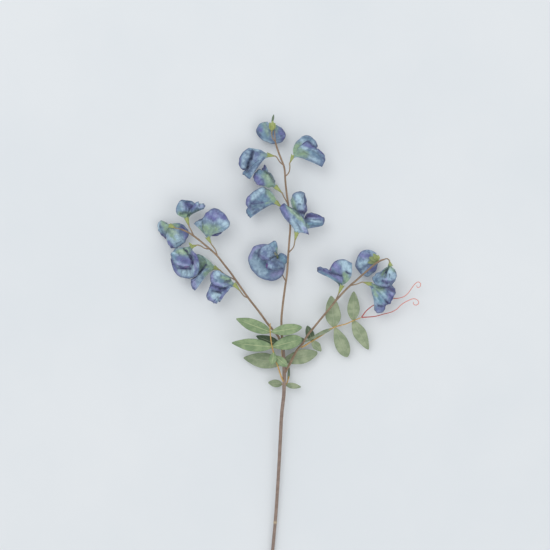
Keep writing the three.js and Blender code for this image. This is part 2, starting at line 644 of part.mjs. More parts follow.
const ring = rod([jointRing.from, jointRing.to], jointRing.radius, { ...stemFacets, steps: 1 });
addPiece('main_stem', rod(mainStemRoute, stemRadius, stemFacets).add(ring), 'stem');
addPiece('top_branch', branchSolid('top'), 'branch');
addPiece('left_branch', branchSolid('left').subtract(thickStem).subtract(thickTopBranch), 'branch');
addPiece('right_branch', branchSolid('right').subtract(thickStem), 'branch');

for (const bloom of blooms) {
  addPiece(`${bloom.name}_petals`, petalsSolid(bloom), 'petal');
  addPiece(`${bloom.name}_calyx`, calyxSolid(bloom), 'calyx');
}

for (const leafSpray of leafSprays) {
  const solid = leafSpraySolid(leafSpray).subtract(thickStem).subtract(thickRightBranch);
  addPiece(leafSpray.name, solid, 'leaf');
}

const carrier = leafSprays.find((leafSpray) => leafSpray.name === 'leaf_spray_right');
const thickCarrier = rod(carrier.rachis, rachisRadius + clearance, rachisFacets);
const curls = join(tendrils.map((route) => rod(route, tendrilRadius, tendrilFacets)));
addPiece('tendrils', curls.subtract(thickCarrier), 'tendril');

export default spray;
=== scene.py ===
import math

import bpy
import numpy as np
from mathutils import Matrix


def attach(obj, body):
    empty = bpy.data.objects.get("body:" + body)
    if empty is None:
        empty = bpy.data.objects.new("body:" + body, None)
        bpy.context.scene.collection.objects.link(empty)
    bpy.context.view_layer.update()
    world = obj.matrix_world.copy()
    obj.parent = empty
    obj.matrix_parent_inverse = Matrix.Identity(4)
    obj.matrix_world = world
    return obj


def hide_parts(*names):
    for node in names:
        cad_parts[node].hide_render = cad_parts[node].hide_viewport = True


# A cut sprig of sweet pea lying on a pale table, seen from above.
# Lengths are in millimetres until a mesh is made, +Y runs to the tip of the stem.

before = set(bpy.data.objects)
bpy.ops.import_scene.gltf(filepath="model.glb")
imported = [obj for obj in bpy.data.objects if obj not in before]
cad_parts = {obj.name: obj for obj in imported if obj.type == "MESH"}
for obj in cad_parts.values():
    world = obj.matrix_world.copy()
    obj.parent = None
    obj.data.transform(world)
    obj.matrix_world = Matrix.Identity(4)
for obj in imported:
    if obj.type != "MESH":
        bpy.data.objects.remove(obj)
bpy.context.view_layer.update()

mm = 0.001
dice = np.random.default_rng(58)


def smoothCurve(points, shares):
    # a centripetal spline through the points, one step of the share for each gap
    p = np.asarray(points, float)
    last = len(p) - 1
    curve = []
    for share in np.atleast_1d(shares):
        place = last * float(share)
        i = min(int(place), last - 1)
        w = place - i
        b, c = p[i], p[i + 1]
        a = p[i - 1] if i > 0 else 2 * b - c
        d = p[i + 2] if i + 2 <= last else 2 * c - b
        gapBefore, gap, gapAfter = (max(np.linalg.norm(q), 1e-6) ** 0.5 for q in (b - a, c - b, d - c))
        tangentIn = ((b - a) / gapBefore - (c - a) / (gapBefore + gap) + (c - b) / gap) * gap
        tangentOut = ((c - b) / gap - (d - b) / (gap + gapAfter) + (d - c) / gapAfter) * gap
        curve.append(b + tangentIn * w
                     + (3 * (c - b) - 2 * tangentIn - tangentOut) * w * w
                     + (2 * (b - c) + tangentIn + tangentOut) * w ** 3)
    return np.array(curve)


def unit(vectors):
    length = np.linalg.norm(vectors, axis=-1, keepdims=True)
    return vectors / np.maximum(length, 1e-9)


def surfaceNormals(grid):
    return unit(np.cross(np.gradient(grid, axis=1), np.gradient(grid, axis=0)))


def wander(u, v, reach, count=5):
    # smooth random hills over (u, v), between about -1 and 1
    hills = np.zeros(np.broadcast(u, v).shape)
    for _ in range(count):
        fu, fv = dice.uniform(0.4, 1, 2) * reach * dice.choice([-1, 1], 2)
        hills += np.sin(2 * math.pi * (fu * u + fv * v) + dice.uniform(0, 2 * math.pi))
    return hills / count ** 0.5 / 1.4


def makePiece(name, parts, material, slotName, *nodes):
    # parts: (vertices in mm, faces, {attribute: values}) joined in one mesh
    vertices, faces, attributes, count = [], [], {}, 0
    names = sorted({key for part in parts for key in part[2]})
    for partVertices, partFaces, values in parts:
        vertices.append(partVertices)
        faces += [[corner + count for corner in face] for face in partFaces]
        for key in names:
            attributes.setdefault(key, []).append(values.get(key, np.zeros(len(partVertices))))
        count += len(partVertices)
    mesh = bpy.data.meshes.new(name)
    mesh.from_pydata((np.vstack(vertices) * mm).tolist(), [], faces)
    for key in names:
        layer = mesh.attributes.new(key, "FLOAT", "POINT")
        layer.data.foreach_set("value", np.concatenate(attributes[key]).astype(np.float32))
    mesh.polygons.foreach_set("use_smooth", [True] * len(mesh.polygons))
    mesh.materials.append(material)
    piece = bpy.data.objects.new(name, mesh)
    bpy.context.scene.collection.objects.link(piece)
    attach(piece, "root")
    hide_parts(*nodes)
    return piece


def closedSheet(grid, thickness, values):
    # a thin closed blade about a grid of points, rounded off along its edge
    rows, columns = grid.shape[:2]
    normals = surfaceNormals(grid)
    edge = np.ones((rows, columns))
    for thin in (edge[0], edge[-1], edge[:, 0], edge[:, -1]):
        thin[:] = 0.35
    half = (normals * (thickness / 2 * edge)[..., None]).reshape(-1, 3)
    flat = grid.reshape(-1, 3)
    vertices = np.vstack([flat + half, flat - half])
    back = rows * columns
    faces = []
    for r in range(rows - 1):
        for c in range(columns - 1):
            a = r * columns + c
            faces.append([a, a + 1, a + 1 + columns, a + columns])
            faces.append([a + back, a + columns + back, a + 1 + columns + back, a + 1 + back])
    outline = ([c for c in range(columns - 1)]
               + [r * columns + columns - 1 for r in range(rows - 1)]
               + [(rows - 1) * columns + c for c in range(columns - 1, 0, -1)]
               + [r * columns for r in range(rows - 1, 0, -1)])
    for i, a in enumerate(outline):
        b = outline[(i + 1) % len(outline)]
        faces.append([b, a, a + back, b + back])
    return vertices, faces, {key: np.tile(value.reshape(-1), 2) for key, value in values.items()}


def tube(route, radius, sides=14, steps=90, ridges=0, ridgeDepth=0.0, lumps=0.0, swellings=()):
    # a round stem along a smooth route. radius: (share, mm) pairs. swellings: (share, width, mm)
    shares = np.linspace(0, 1, steps + 1)
    centres = smoothCurve(route, shares)
    ahead = unit(np.gradient(centres, axis=0))
    across = np.zeros_like(ahead)
    start = np.cross(ahead[0], (0, 0, 1))
    across[0] = start if np.linalg.norm(start) > 0.1 else np.cross(ahead[0], (1, 0, 0))
    for i in range(1, len(ahead)):
        across[i] = across[i - 1] - ahead[i] * (across[i - 1] @ ahead[i])
    across = unit(across)
    upward = np.cross(ahead, across)
    girth = np.interp(shares, *zip(*radius))
    for at, width, extra in swellings:
        girth = girth + extra * np.exp(-(((shares - at) / width) ** 2))
    turns = 2 * math.pi * np.arange(sides) / sides
    s, angle = np.meshgrid(shares, turns, indexing="ij")
    size = girth[:, None] * (1 + lumps * wander(s * 6, np.cos(angle) * 0.2, 1))
    size = size + ridgeDepth * np.cos(ridges * angle + 0.6 * np.sin(9 * s))
    rings = (centres[:, None]
             + across[:, None] * (np.cos(angle) * size)[..., None]
             + upward[:, None] * (np.sin(angle) * size)[..., None])
    vertices = np.vstack([rings.reshape(-1, 3), centres[:1], centres[-1:]])
    faces = []
    for r in range(steps):
        for c in range(sides):
            a, b = r * sides + c, r * sides + (c + 1) % sides
            faces.append([a, a + sides, b + sides, b])
    foot, tip, lastRing = len(vertices) - 2, len(vertices) - 1, steps * sides
    for c in range(sides):
        after = (c + 1) % sides
        faces.append([c, after, foot])
        faces.append([lastRing + after, lastRing + c, tip])
    length = np.concatenate([[0], np.cumsum(np.linalg.norm(np.diff(centres, axis=0), axis=1))])
    along = np.concatenate([np.repeat(length, sides), [0, length[-1]]])
    around = np.concatenate([np.tile(turns, steps + 1), [0, 0]])
    endCut = np.concatenate([np.zeros((steps + 1) * sides), [1, 1]])
    return vertices, faces, {"along": along, "around": np.sin(around), "aroundToo": np.cos(around),
                             "share": np.concatenate([np.repeat(shares, sides), [0, 1]]), "endCut": endCut}


def tone(red, green, blue):
    # a screen colour as the linear colour that a shader takes
    return tuple((c / 255 / 12.92) if c <= 10 else ((c / 255 + 0.055) / 1.055) ** 2.4
                 for c in (red, green, blue)) + (1,)


class Wiring:
    # places nodes in a tree and joins them
    def __init__(self, tree):
        self.tree = tree
        self.place = 0

    def node(self, kind, settings=None, **inputs):
        made = self.tree.nodes.new(kind)
        made.location = (self.place % 8 * 200, -(self.place // 8) * 260)
        self.place += 1
        for key, value in (settings or {}).items():
            setattr(made, key, value)
        for key, value in inputs.items():
            self.feed(made.inputs[int(key[1:]) if key[0] == "_" else key.replace("_", " ")], value)
        return made

    def feed(self, socket, value):
        if isinstance(value, bpy.types.NodeSocket):
            self.tree.links.new(value, socket)
        else:
            socket.default_value = value

    def maths(self, operation, a, b=0.0, clamp=False):
        settings = {"operation": operation, "use_clamp": clamp}
        return self.node("ShaderNodeMath", settings, _0=a, _1=b).outputs[0]

    def times(self, a, b, clamp=False):
        return self.maths("MULTIPLY", a, b, clamp)

    def plus(self, a, b):
        return self.maths("ADD", a, b)

    def minus(self, a, b):
        return self.maths("SUBTRACT", a, b)

    def blend(self, share, a, b):
        made = self.node("ShaderNodeMix", {"data_type": "RGBA", "blend_type": "MIX"})
        self.feed(made.inputs["Factor"], share)
        self.feed(made.inputs[6], a)
        self.feed(made.inputs[7], b)
        return made.outputs[2]

    def spread(self, value, low, high, lowTo=0.0, highTo=1.0):
        return self.node("ShaderNodeMapRange", {"interpolation_type": "SMOOTHSTEP"}, Value=value,
                         From_Min=low, From_Max=high, To_Min=lowTo, To_Max=highTo).outputs[0]

    def noise(self, vector, scale, detail=4.0, roughness=0.55):
        return self.node("ShaderNodeTexNoise", Vector=vector, Scale=scale, Detail=detail,
                         Roughness=roughness).outputs["Fac"]

    def measure(self, name):
        return self.node("ShaderNodeAttribute", {"attribute_name": name}).outputs["Fac"]

    def vector(self, x, y, z=0.0):
        return self.node("ShaderNodeCombineXYZ", X=x, Y=y, Z=z).outputs[0]


def newGroup(name, inputs, outputs):
    group = bpy.data.node_groups.new(name, "ShaderNodeTree")
    for label, kind, value in inputs:
        socket = group.interface.new_socket(name=label, in_out="INPUT", socket_type="NodeSocket" + kind)
        if value is not None:
            socket.default_value = value
    for label, kind in outputs:
        group.interface.new_socket(name=label, in_out="OUTPUT", socket_type="NodeSocket" + kind)
    wiring = Wiring(group)
    return group, wiring, wiring.node("NodeGroupInput").outputs, wiring.node("NodeGroupOutput").inputs


def fibresGroup():
    # fine threads that run along a petal or a stem
    group, w, given, out = newGroup(
        "fibres",
        [("Across", "Float", 0), ("Along", "Float", 0), ("Fineness", "Float", 30),
         ("Stretch", "Float", 0.08), ("Twist", "Float", 0.0)],
        [("Threads", "Float"), ("Height", "Float")])
    across = w.plus(given["Across"], w.times(given["Along"], given["Twist"]))
    place = w.vector(w.times(across, given["Fineness"]),
                     w.times(w.times(given["Along"], given["Fineness"]), given["Stretch"]))
    coarse = w.noise(place, 1.0, 2.0, 0.5)
    fine = w.noise(place, 3.1, 3.0, 0.6)
    threads = w.plus(w.times(coarse, 0.6), w.times(fine, 0.4))
    w.feed(out["Threads"], w.spread(threads, 0.35, 0.65))
    w.feed(out["Height"], threads)
    return group


def mottleGroup():
    # soft uneven patches and small specks
    group, w, given, out = newGroup(
        "mottle",
        [("Scale", "Float", 150), ("Contrast", "Float", 0.5)],
        [("Patches", "Float"), ("Specks", "Float")])
    where = w.node("ShaderNodeTexCoord").outputs["Object"]
    patches = w.noise(where, given["Scale"], 4.0, 0.6)
    low = w.minus(0.5, w.times(0.25, w.minus(1.2, given["Contrast"])))
    w.feed(out["Patches"], w.spread(patches, low, w.minus(1.0, low)))
    specks = w.noise(where, w.times(given["Scale"], 9.0), 2.0, 0.5)
    w.feed(out["Specks"], w.spread(specks, 0.58, 0.72))
    return group


def edgeGroup():
    # a mask along the rim of a petal or a leaflet
    group, w, given, out = newGroup(
        "rimMask",
        [("Nearness", "Float", 0), ("Width", "Float", 0.04), ("Waver", "Float", 0)],
        [("Rim", "Float")])
    start = w.minus(1.0, w.times(given["Width"], w.plus(0.6, given["Waver"])))
    w.feed(out["Rim"], w.spread(given["Nearness"], start, 1.0))
    return group


def creaseGroup():
    # thin wandering lines, as in cloth that was crushed and smoothed again
    group, w, given, out = newGroup(
        "creaseLines",
        [("Scale", "Float", 120), ("Width", "Float", 0.06)],
        [("Lines", "Float"), ("Height", "Float")])
    where = w.node("ShaderNodeTexCoord").outputs["Object"]
    ridge = w.maths("ABSOLUTE", w.minus(w.noise(where, given["Scale"], 2.0, 0.5), 0.5))
    patchy = w.spread(w.noise(where, w.times(given["Scale"], 0.6), 1.0, 0.5), 0.42, 0.6)
    lines = w.times(w.spread(ridge, given["Width"], 0.0), patchy)
    w.feed(out["Lines"], lines)
    w.feed(out["Height"], w.minus(0.0, lines))
    return group


fibres, mottle, rimMask, creaseLines = fibresGroup(), mottleGroup(), edgeGroup(), creaseGroup()


def newMaterial(name, roughness, sheen=0.0, specular=0.3):
    material = bpy.data.materials.new(name)
    material.use_nodes = True
    tree = material.node_tree
    tree.nodes.clear()
    wiring = Wiring(tree)
    finish = wiring.node("ShaderNodeBsdfPrincipled", Roughness=roughness, Sheen_Weight=sheen,
                         Sheen_Roughness=0.5, Specular_IOR_Level=specular)
    out = wiring.node("ShaderNodeOutputMaterial", Surface=finish.outputs[0])
    out.location = (1800, 0)
    return material, wiring, finish


def useGroup(wiring, group, **inputs):
    return wiring.node("ShaderNodeGroup", {"node_tree": group}, **inputs).outputs


def roughen(wiring, finish, height, strength, distance):
    bump = wiring.node("ShaderNodeBump", Height=height, Strength=strength, Distance=distance * mm)
    wiring.feed(finish.inputs["Normal"], bump.outputs[0])


petalLook = {
    "thickness": 0.45,
    "cellsAcross": 68,
    "cellsAlong": 42,
    "ribs": {"root": 0.3, "neck": 0.8, "flare": 0.15, "start": 0.33},
    "sunk": -0.32,
    "footRadius": 1.7,
    "lowest": 0.45,
    "billow": 0.8,
    "crinkle": 0.3,
    "crumple": 0.06,
    "tones": {
        "slate": tone(100, 121, 150),
        "ground": tone(142, 166, 188),
        "teal": tone(104, 142, 160),
        "green": tone(138, 166, 132),
        "mint": tone(174, 196, 172),
        "moss": tone(62, 84, 64),
        # the cloth's own pale blue, also used as painted highlight on raised folds and on the crumples
        "pale": tone(172, 200, 214),
        "lilac": tone(154, 154, 200),
        "violet": tone(103, 103, 158),
        # plum, like moss, is the cloth's own dark colour and also painted shade where a bloom's creases use
        # it
        "plum": tone(66, 56, 108),
        "magenta": tone(138, 56, 126),
        "shade": tone(38, 42, 70),
        "pollen": tone(196, 184, 84),
        # painted shade in the crumples of the cloth
        "crumpleShade": tone(84, 100, 130),
        # painted shade in the crease lines
        "crease": tone(66, 78, 116),
        "thread": tone(76, 90, 124),
        "speck": tone(206, 222, 232),
        "rim": tone(60, 64, 106),
    },
    "shares": {"crumpleShade": 0.28, "pale": 0.14, "crease": 0.17, "thread": 0.12, "speck": 0.03, "rim": 0.55},
    "order": ("teal", "green", "mint", "pale", "violet", "lilac", "plum", "magenta",
              "moss", "shade", "pollen"),
    "roughness": 0.7,
    "sheen": 0.25,
}

# Each bloom's creases paint shade along folds and where one petal lies over another, and sink the surface
# there.
blooms = [
    {"name": "top_bloom_1",
     "sepals": [
         {"base": (-21.2, 317.6, 25.5), "tip": (-19.1, 328.2, 23.5),
          "width": 3, "lift": 0.6, "roll": 10, "dark": 1},
         {"base": (-21.7, 308.2, 26.6), "tip": (-24, 318.2, 25),
          "width": 5, "lift": 0.8, "roll": -10, "dark": 0.1},
         {"base": (-20.8, 308.2, 27), "tip": (-20.5, 320.1, 25.5),
          "width": 5.2, "lift": 1, "roll": 0, "dark": 0},
         {"base": (-19.8, 308.9, 26.6), "tip": (-17.7, 317.6, 25),
          "width": 4.6, "lift": 0.8, "roll": 10, "dark": 0.1},
     ],
     "stalk": [(-17.5, 294.5, 25), (-21, 300, 26.5), (-21.5, 307, 26.5)],
     "throat": (-21, 314, 20),
     "shadedCreases": [
         ("shade", -18.5, -6, -15, -11, 1.9, 0.6, -0.6), ("shade", 10.5, -12.5, 13, -11, 1, 0.6, -0.6)],
     "petals": [
         {"belly": (0, -1, 3), "ruffle": 0.8, "waves": 4, "scallop": 0,
          "rim": [(5, 2, -2), (12, -1, -5), (17, -10, -7), (12, -19, -6), (-2, -21, -5), (-14, -15, -6),
                  (-20, -4, -7), (-14, 5, -5), (-6, 6, -2)],
          "strokes": [
              ("green", -10, 3.5, -5, -9.5, 3.1, 0.55, 0), ("teal", -15, 2, -8, -14.5, 3.8, 0.6, 0),
              ("violet", -16, -2, -14, -4.5, 2.8, 0.9, 0), ("pale", -11.5, -16, -1.5, -20, 2, 0.69, 0.4),
              ("violet", 11, -6, 15, -13, 3.8, 0.9, 0.4), ("plum", 12, -3, 17, -9.5, 1.2, 0.9, 0),
              ("plum", 11, -16.5, 15.5, -14, 1.2, 0.67, 0), ("green", 4, 0.5, 5.5, -6, 2.5, 0.66, 0)]},
         {"belly": (0, 0, 0),
          "rim": [(-8, 2, -11), (-13, -6, -19), (-8, -14, -20), (-2, -10, -13)],
          "stains": [("violet", 0.5, 0.9, 0.4, 0.3, 0.5)]},
         {"belly": (0, 0, 0),
          "rim": [(6, -1, -11), (11, -8, -19), (5, -16, -20), (-1, -11, -12)],
          "stains": [("violet", 0.5, 0.9, 0.4, 0.3, 0.5)]},
     ]},
    {"name": "top_bloom_2",
     "stalk": [(-6.5, 265, 24.5), (-11.5, 269, 25), (-15, 274.5, 25), (-19, 276.5, 25.5)],
     "throat": (-29, 278, 25.5),
     "shadedCreases": [
         ("shade", -16.5, 4, -18.5, -6, 1.8, 0.98, -1.2), ("shade", -20, -10, -24, -20, 1.8, 0.98, -1.2),
         ("shade", -23.5, 0, -23, -2, 0.9, 0.54, -0.6), ("shade", -25.5, -6, -27, -12, 0.8, 0.36, -0.6),
         ("shade", -15.5, 3.5, -18, -7, 1.1, 0.96, -0.6),
         ("shade", -26.5, -19, -22, -21.5, 1.1, 0.72, -0.8), ("shade", -18, -16, -21, -22, 1, 0.54, -0.6)],
     "petals": [
         {"belly": (1, 2, 0), "ruffle": 0.8, "waves": 5,
          "rim": [(-28, -20, 6), (-33, -14, 8), (-33, -7, 8), (-29, 2, 4), (-20, 9, 0), (-27, 2, -6),
                  (-30, -7, -10), (-30, -14, -8), (-26, -20, -6)],
          "strokes": [
              ("pale", -22, 2, -23, -3.5, 2, 0.63, 0.5), ("violet", -31.5, -2, -33, -16, 1.8, 0.6, 0),
              ("pale", -27, -8.5, -29, -16, 2.2, 0.57, 0.5), ("teal", -21, 8.5, -12, 6.5, 2.5, 0.5, 0),
              ("plum", -32, -18.5, -27, -19, 1.2, 0.67, 0), ("teal", -28.5, 3, -31, -3.5, 2, 0.5, 0),
              ("pale", -15, 6, -8.5, 4, 1, 0.46, 0)],
          "stains": [("green", 0.4, 0.1, 0.5, 0.2, 0.6)]},
         {"belly": (0, 0, 2), "ruffle": 0.8, "waves": 4,
          "rim": [(-14, 4, 8), (-18, -6, 10), (-23, -17, 8), (-29, -24, 6), (-25, -27, 4), (-20, -31, 2)],
          "strokes": [
              ("violet", -12, 0, -13, -7, 2.8, 0.5, 0), ("pale", -5.5, 2, -5, -2, 2, 0.4, 0.4),
              ("teal", -15, -12, -11, -6, 3, 0.4, 0), ("plum", -20.5, -10, -23, -18.5, 1.1, 0.84, 0),
              ("teal", -26, -24.5, -20, -28.5, 3.2, 0.6, 0), ("shade", -3.5, -6, -14, -20.5, 1, 0.48, 0),
              ("green", -5, 0, 1.5, -2, 2, 0.55, 0), ("pale", -25.5, -23.5, -23, -26, 1, 0.46, 0.4),
              ("plum", -30, -25.5, -21, -31, 0.8, 0.45, 0)]},
         {"belly": (0, 0, -2),
          "rim": [(-16, 2, -8), (-20, -10, -10), (-25, -21, -8), (-20, -28, -4)],
          "stains": [("violet", 0.5, 0.8, 0.4, 0.4, 0.4)]},
     ]},
    {"name": "top_bloom_3",
     "calyx": {"girth": 0.92},
     "stalk": [(-5, 251, 24.5), (-0.5, 255.5, 24.5), (1, 262, 25), (1.5, 269, 25)],
     "throat": (6, 279.5, 25),
     "shadedCreases": [
         ("shade", 14, 20, 19, 19, 1.4, 0.48, -0.4), ("plum", 17, 15, 28.5, 5.5, 1.1, 0.9, -0.4),
         ("shade", 24, 2.5, 35, -5.5, 0.9, 0.48, -0.8), ("shade", 11.5, 2, 23, -5, 0.9, 0.36, -0.4)],
     "petals": [
         {"belly": (-3, 2, 0), "ruffle": 0.8, "waves": 5,
          "rim": [(24, 4, 7), (29, 8, 7), (26, 16, 8), (18, 22, 6), (10, 22, 1), (18, 20, -6),
                  (25, 14, -9), (27, 7, -8), (22, 3, -7)],
          "strokes": [
              ("teal", 13, 20, 23, 16, 2.8, 0.55, 0), ("pale", 9, 17.5, 11.5, 14, 2.2, 0.63, 0.4),
              ("pale", 23, 14.5, 26.5, 10, 1.8, 0.52, 0.4), ("green", 4, 10, 0, 1, 3.8, 0.88, 0),
              ("shade", 28.5, 10, 29, 5, 1.1, 0.9, 0), ("shade", 18, 15, 20, 14, 1.5, 0.48, 0),
              ("green", 8, 12.5, 6.5, 6, 2.5, 0.55, 0)],
          "stains": [("green", 0.4, 0.25, 0.5, 0.28, 0.8)]},
         {"belly": (0, 0, 2), "ruffle": 1, "waves": 5,
          "rim": [(8, 9, 8), (15, 14, 11), (23, 9, 10), (30, 5, 8), (37, -1, 6), (39, -7, 4), (35, -17, 2)],
          "strokes": [
              ("plum", 11, 12, 16.5, 15, 1, 0.84, 0), ("violet", 13, 10.5, 23, 8, 2.5, 0.95, 0.4),
              ("pale", 11.5, 7, 16.5, 6.5, 2, 0.8, 0.5), ("teal", 18, 4, 30, -4, 3.8, 0.5, 0),
              ("violet", 31, 4, 36, -0.5, 1.5, 0.9, 0), ("plum", 31, 4.5, 36.5, -1, 0.8, 0.84, 0),
              ("green", 3, 2.5, 14, -2.5, 3.8, 0.98, 0), ("green", 8, 4.5, 16.5, 0, 2.5, 0.66, 0),
              ("shade", 19, -7.5, 34, -16, 0.9, 0.48, 0), ("pale", 21.5, -4, 31.5, -10.5, 2.2, 0.46, 0.4),
              ("plum", 36, -5, 38, -7.5, 0.8, 0.67, 0)],
          "stains": [("green", 0.5, 0.2, 0.6, 0.26, 0.8)]},
         {"belly": (0, 0, -2),
          "rim": [(9, 8, -8), (19, 9, -11), (29, 2, -9), (35, -5, -5), (34, -14, -2)],
          "stains": [("violet", 0.5, 0.8, 0.4, 0.4, 0.5)]},
     ]},
    {"name": "top_bloom_4",
     "stalk": [(-2, 218, 24), (-6, 225, 22), (-10, 232, 20)],
     "throat": (-19, 240.5, 19),
     "shadedCreases": [
         ("moss", -9.5, 15, -8.5, 14, 1.2, 0.92, -0.9), ("plum", -15, 6.5, -12, 1.5, 1, 0.45, -0.4)],
     "petals": [
         {"belly": (-1, 0, 6), "ruffle": 1, "waves": 6,
          "rim": [(2, 6, -6), (-4, 15, -3), (-11, 19, 0), (-21, 18, 2), (-25, 12, 3), (-24, 5, 4),
                  (-20, 0, 4), (-14, -1, 5), (-6, -4, 4)],
          "strokes": [
              ("violet", -22, 9, -16, 1.5, 4, 0.95, 0), ("plum", -23.5, 13, -24, 8.5, 1.2, 0.67, 0),
              ("plum", -21, -1, -15, -2, 1.2, 0.78, 0), ("magenta", -20.5, 0.5, -20, -0.5, 1.4, 0.5, 0),
              ("green", -10, 11.5, -3.5, 0.5, 5, 0.98, 0), ("green", -13.5, -2.5, -2, -2.5, 1.9, 0.88, 0),
              ("mint", -7.5, 10.5, -6.5, 5.5, 2, 0.77, 0.4),
              ("moss", -11.5, 17.5, -5.5, 13.5, 1.5, 0.98, 0), ("moss", -5.5, 13.5, 0, 3.5, 2, 0.98, 0),
              ("teal", -21, 17, -13.5, 16, 2.5, 0.7, 0), ("moss", -1, -1, -11, -4, 0.9, 0.57, 0)],
          "stains": [("green", 0.5, 0.25, 0.6, 0.3, 0.95)]},
         {"belly": (0, 0, -3),
          "rim": [(-2, 13, -10), (-13, 17, -12), (-21, 12, -12), (-18, 2, -10), (-9, -2, -6)],
          "strokes": [
              ("moss", -8.5, 16, 0, 4, 2.2, 0.98, 0)],
          "stains": [("violet", 0.5, 0.8, 0.5, 0.3, 0.7)]},
         {"belly": (0, 0, 0),
          "rim": [(-7, 14, -6), (-8, 18, -5), (-11, 26, -4), (-15, 20, -6), (-17, 14, -7)],
          "strokes": [
              ("violet", -14, 20, -11.5, 24, 1.9, 0.9, 0), ("plum", -11.5, 25, -11, 20, 1, 0.78, 0)]},
     ]},
    {"name": "top_bloom_5",
     "stalk": [(0, 206, 24), (-4.5, 210, 22.5), (-10, 213.5, 21.5)],
     "throat": (-18.5, 221, 20),
     "shadedCreases": [
         ("teal", -21.5, 0, -11.5, 8.5, 1.6, 0.7, -0.9), ("plum", -28, -3.5, -21.5, -0.5, 1.4, 0.78, -0.8),
         ("plum", -20, -1, -14, -2.5, 1.5, 0.67, -0.4), ("shade", -11, 16, -10, 7.5, 1, 0.42, -0.6),
         ("shade", -29.5, -6.5, -25, -14.5, 1.4, 0.6, -0.8)],
     "petals": [
         {"belly": (2, 2, 0), "ruffle": 0.9, "waves": 5,
          "rim": [(-33, -10, 10), (-35, -4, 11), (-34, 3, 10), (-27, 10, 7), (-17, 16, 2), (-7, 15, -3),
                  (-15, 11, -9), (-25, 5, -12), (-32, -3, -11), (-30, -9, -9)],
          "strokes": [
              ("teal", -24, -2.5, -14, 0, 2.8, 0.6, 0), ("plum", -30, 10.5, -28, 9.5, 1.2, 0.84, 0),
              ("violet", -31.5, 6, -34.5, -5, 2.5, 0.9, 0), ("lilac", -31, 3.5, -32.5, -4, 1.2, 0.6, 0.4),
              ("pale", -26.5, 4, -16.5, 13.5, 3.2, 0.98, 0.5), ("pale", -29, 1.5, -25, 2.5, 1.5, 0.69, 0),
              ("green", -8, 11, 1, 1, 3.2, 0.94, 0), ("green", -14, 16.5, -9, 13.5, 1.5, 0.44, 0),
              ("teal", -15, 2.5, -5, 0, 2.5, 0.6, 0), ("pale", -20, 6, -16.5, 2.5, 1.2, 0.34, 0.4)],
          "stains": [("green", 0.4, 0.15, 0.5, 0.22, 0.9)]},
         {"belly": (0, 0, 3), "ruffle": 0.5, "waves": 2, "pleats": 0,
          "rim": [(-28, -4, 11), (-33, -9, 9), (-35, -14, 8), (-33, -18, 7), (-30, -22, 5)],
          "strokes": [
              ("teal", -25, -7.5, -10, -4, 3.1, 0.6, 0), ("shade", -25, -7.5, -14, -6, 3, 0.48, 0),
              ("plum", -28, -3.5, -14, -2.5, 1.6, 0.73, 0), ("violet", -33, -6, -30, -10, 1.9, 0.7, 0),
              ("teal", -34, -12.5, -30, -19, 2.5, 0.8, 0), ("pale", -29, -11.5, -28, -15, 1.1, 0.46, 0.4),
              ("shade", -26.5, -16.5, -8, -6, 1, 0.54, 0), ("green", -10, -3.5, 0, 0, 1.9, 0.77, 0),
              ("pale", -21.5, -6.5, -16.5, -5, 1.2, 0.4, 0.4)]},
         {"belly": (0, 0, -2),
          "rim": [(-23, 1, -8), (-30, -6, -10), (-32, -14, -7), (-28, -20, -2)],
          "stains": [("violet", 0.5, 0.8, 0.4, 0.4, 0.5)]},
     ]},
    {"name": "top_bloom_6",
     "stalk": [(0, 156.5, 23.5), (5.5, 163, 25), (7.5, 172, 27)],
     "throat": (10, 184, 28),
     "shadedCreases": [
         ("moss", -9, 29.5, 2.5, 18.5, 1.1, 0.92, -0.6), ("shade", -1, 9.5, 5, 0.5, 1, 0.48, -0.8),
         ("shade", -11, 15, -9, 8.5, 1, 0.6, -0.6), ("shade", -6, 5.5, -5, 1, 0.8, 0.42, -0.4),
         ("moss", -3, 27, 1, 21, 1.6, 0.8, -0.4), ("shade", 9, 43, 11, 33, 1.4, 0.98, -0.8),
         ("shade", 2.5, 22, 10, 21, 2, 0.84, -0.8), ("shade", 1.5, 32.5, 4, 32, 1.1, 0.72, -0.6),
         ("shade", 6, 46, 6, 34.5, 0.8, 0.48, -0.6), ("shade", 12.5, 13, 29, 12.5, 0.6, 0.6, -0.6),
         ("shade", 12.5, 6, 29, 5.5, 0.6, 0.54, -0.4), ("shade", 10, 15, 15, 10.5, 1.4, 0.6, -0.4)],
     "petals": [
         {"belly": (0, 0, 4), "ruffle": 1.2, "waves": 5, "pleats": 0.1,
          "rim": [(15, -6, 3), (11, 6, 6), (7, 17, 8), (-1, 24, 9), (-11, 29, 9), (-17, 33, 8),
                  (-22, 26, 6), (-19, 20, 5), (-13, 12, 4), (-8, 7, 3)],
          "strokes": [
              ("violet", -19, 30, -11, 14.5, 3.5, 0.95, 0), ("plum", -21.5, 25.5, -15, 17, 1.1, 0.78, 0),
              ("plum", -18.5, 32, -17, 30, 1, 0.56, 0), ("lilac", -16, 25.5, -12, 17, 1.4, 0.5, 0.4),
              ("green", -11, 28, 5, 13, 2.9, 0.98, 1.1), ("mint", -9, 25.5, 4, 14.5, 1.1, 0.72, 0.4),
              ("plum", 4.5, 20, 8, 15, 1.1, 0.67, 0), ("pale", -7.5, 13, -1, 0.5, 3.2, 0.98, 0),
              ("pale", 4, 8, 7.5, 2, 3, 0.69, 0), ("teal", -1, 10.5, 4, 5.5, 2, 0.5, 0),
              ("lilac", 7.5, 3, 11, -2, 1.8, 0.6, 0), ("plum", 11.5, -4, 14.5, -5.5, 1.1, 0.95, 0),
              ("green", 7.5, 10.5, 10, 4.5, 1.6, 0.55, 0), ("teal", -5, -0.5, 0, -0.5, 1.2, 0.5, 0),
              ("green", 5, 14.5, 7.5, 10.5, 1.9, 0.55, 0)]},
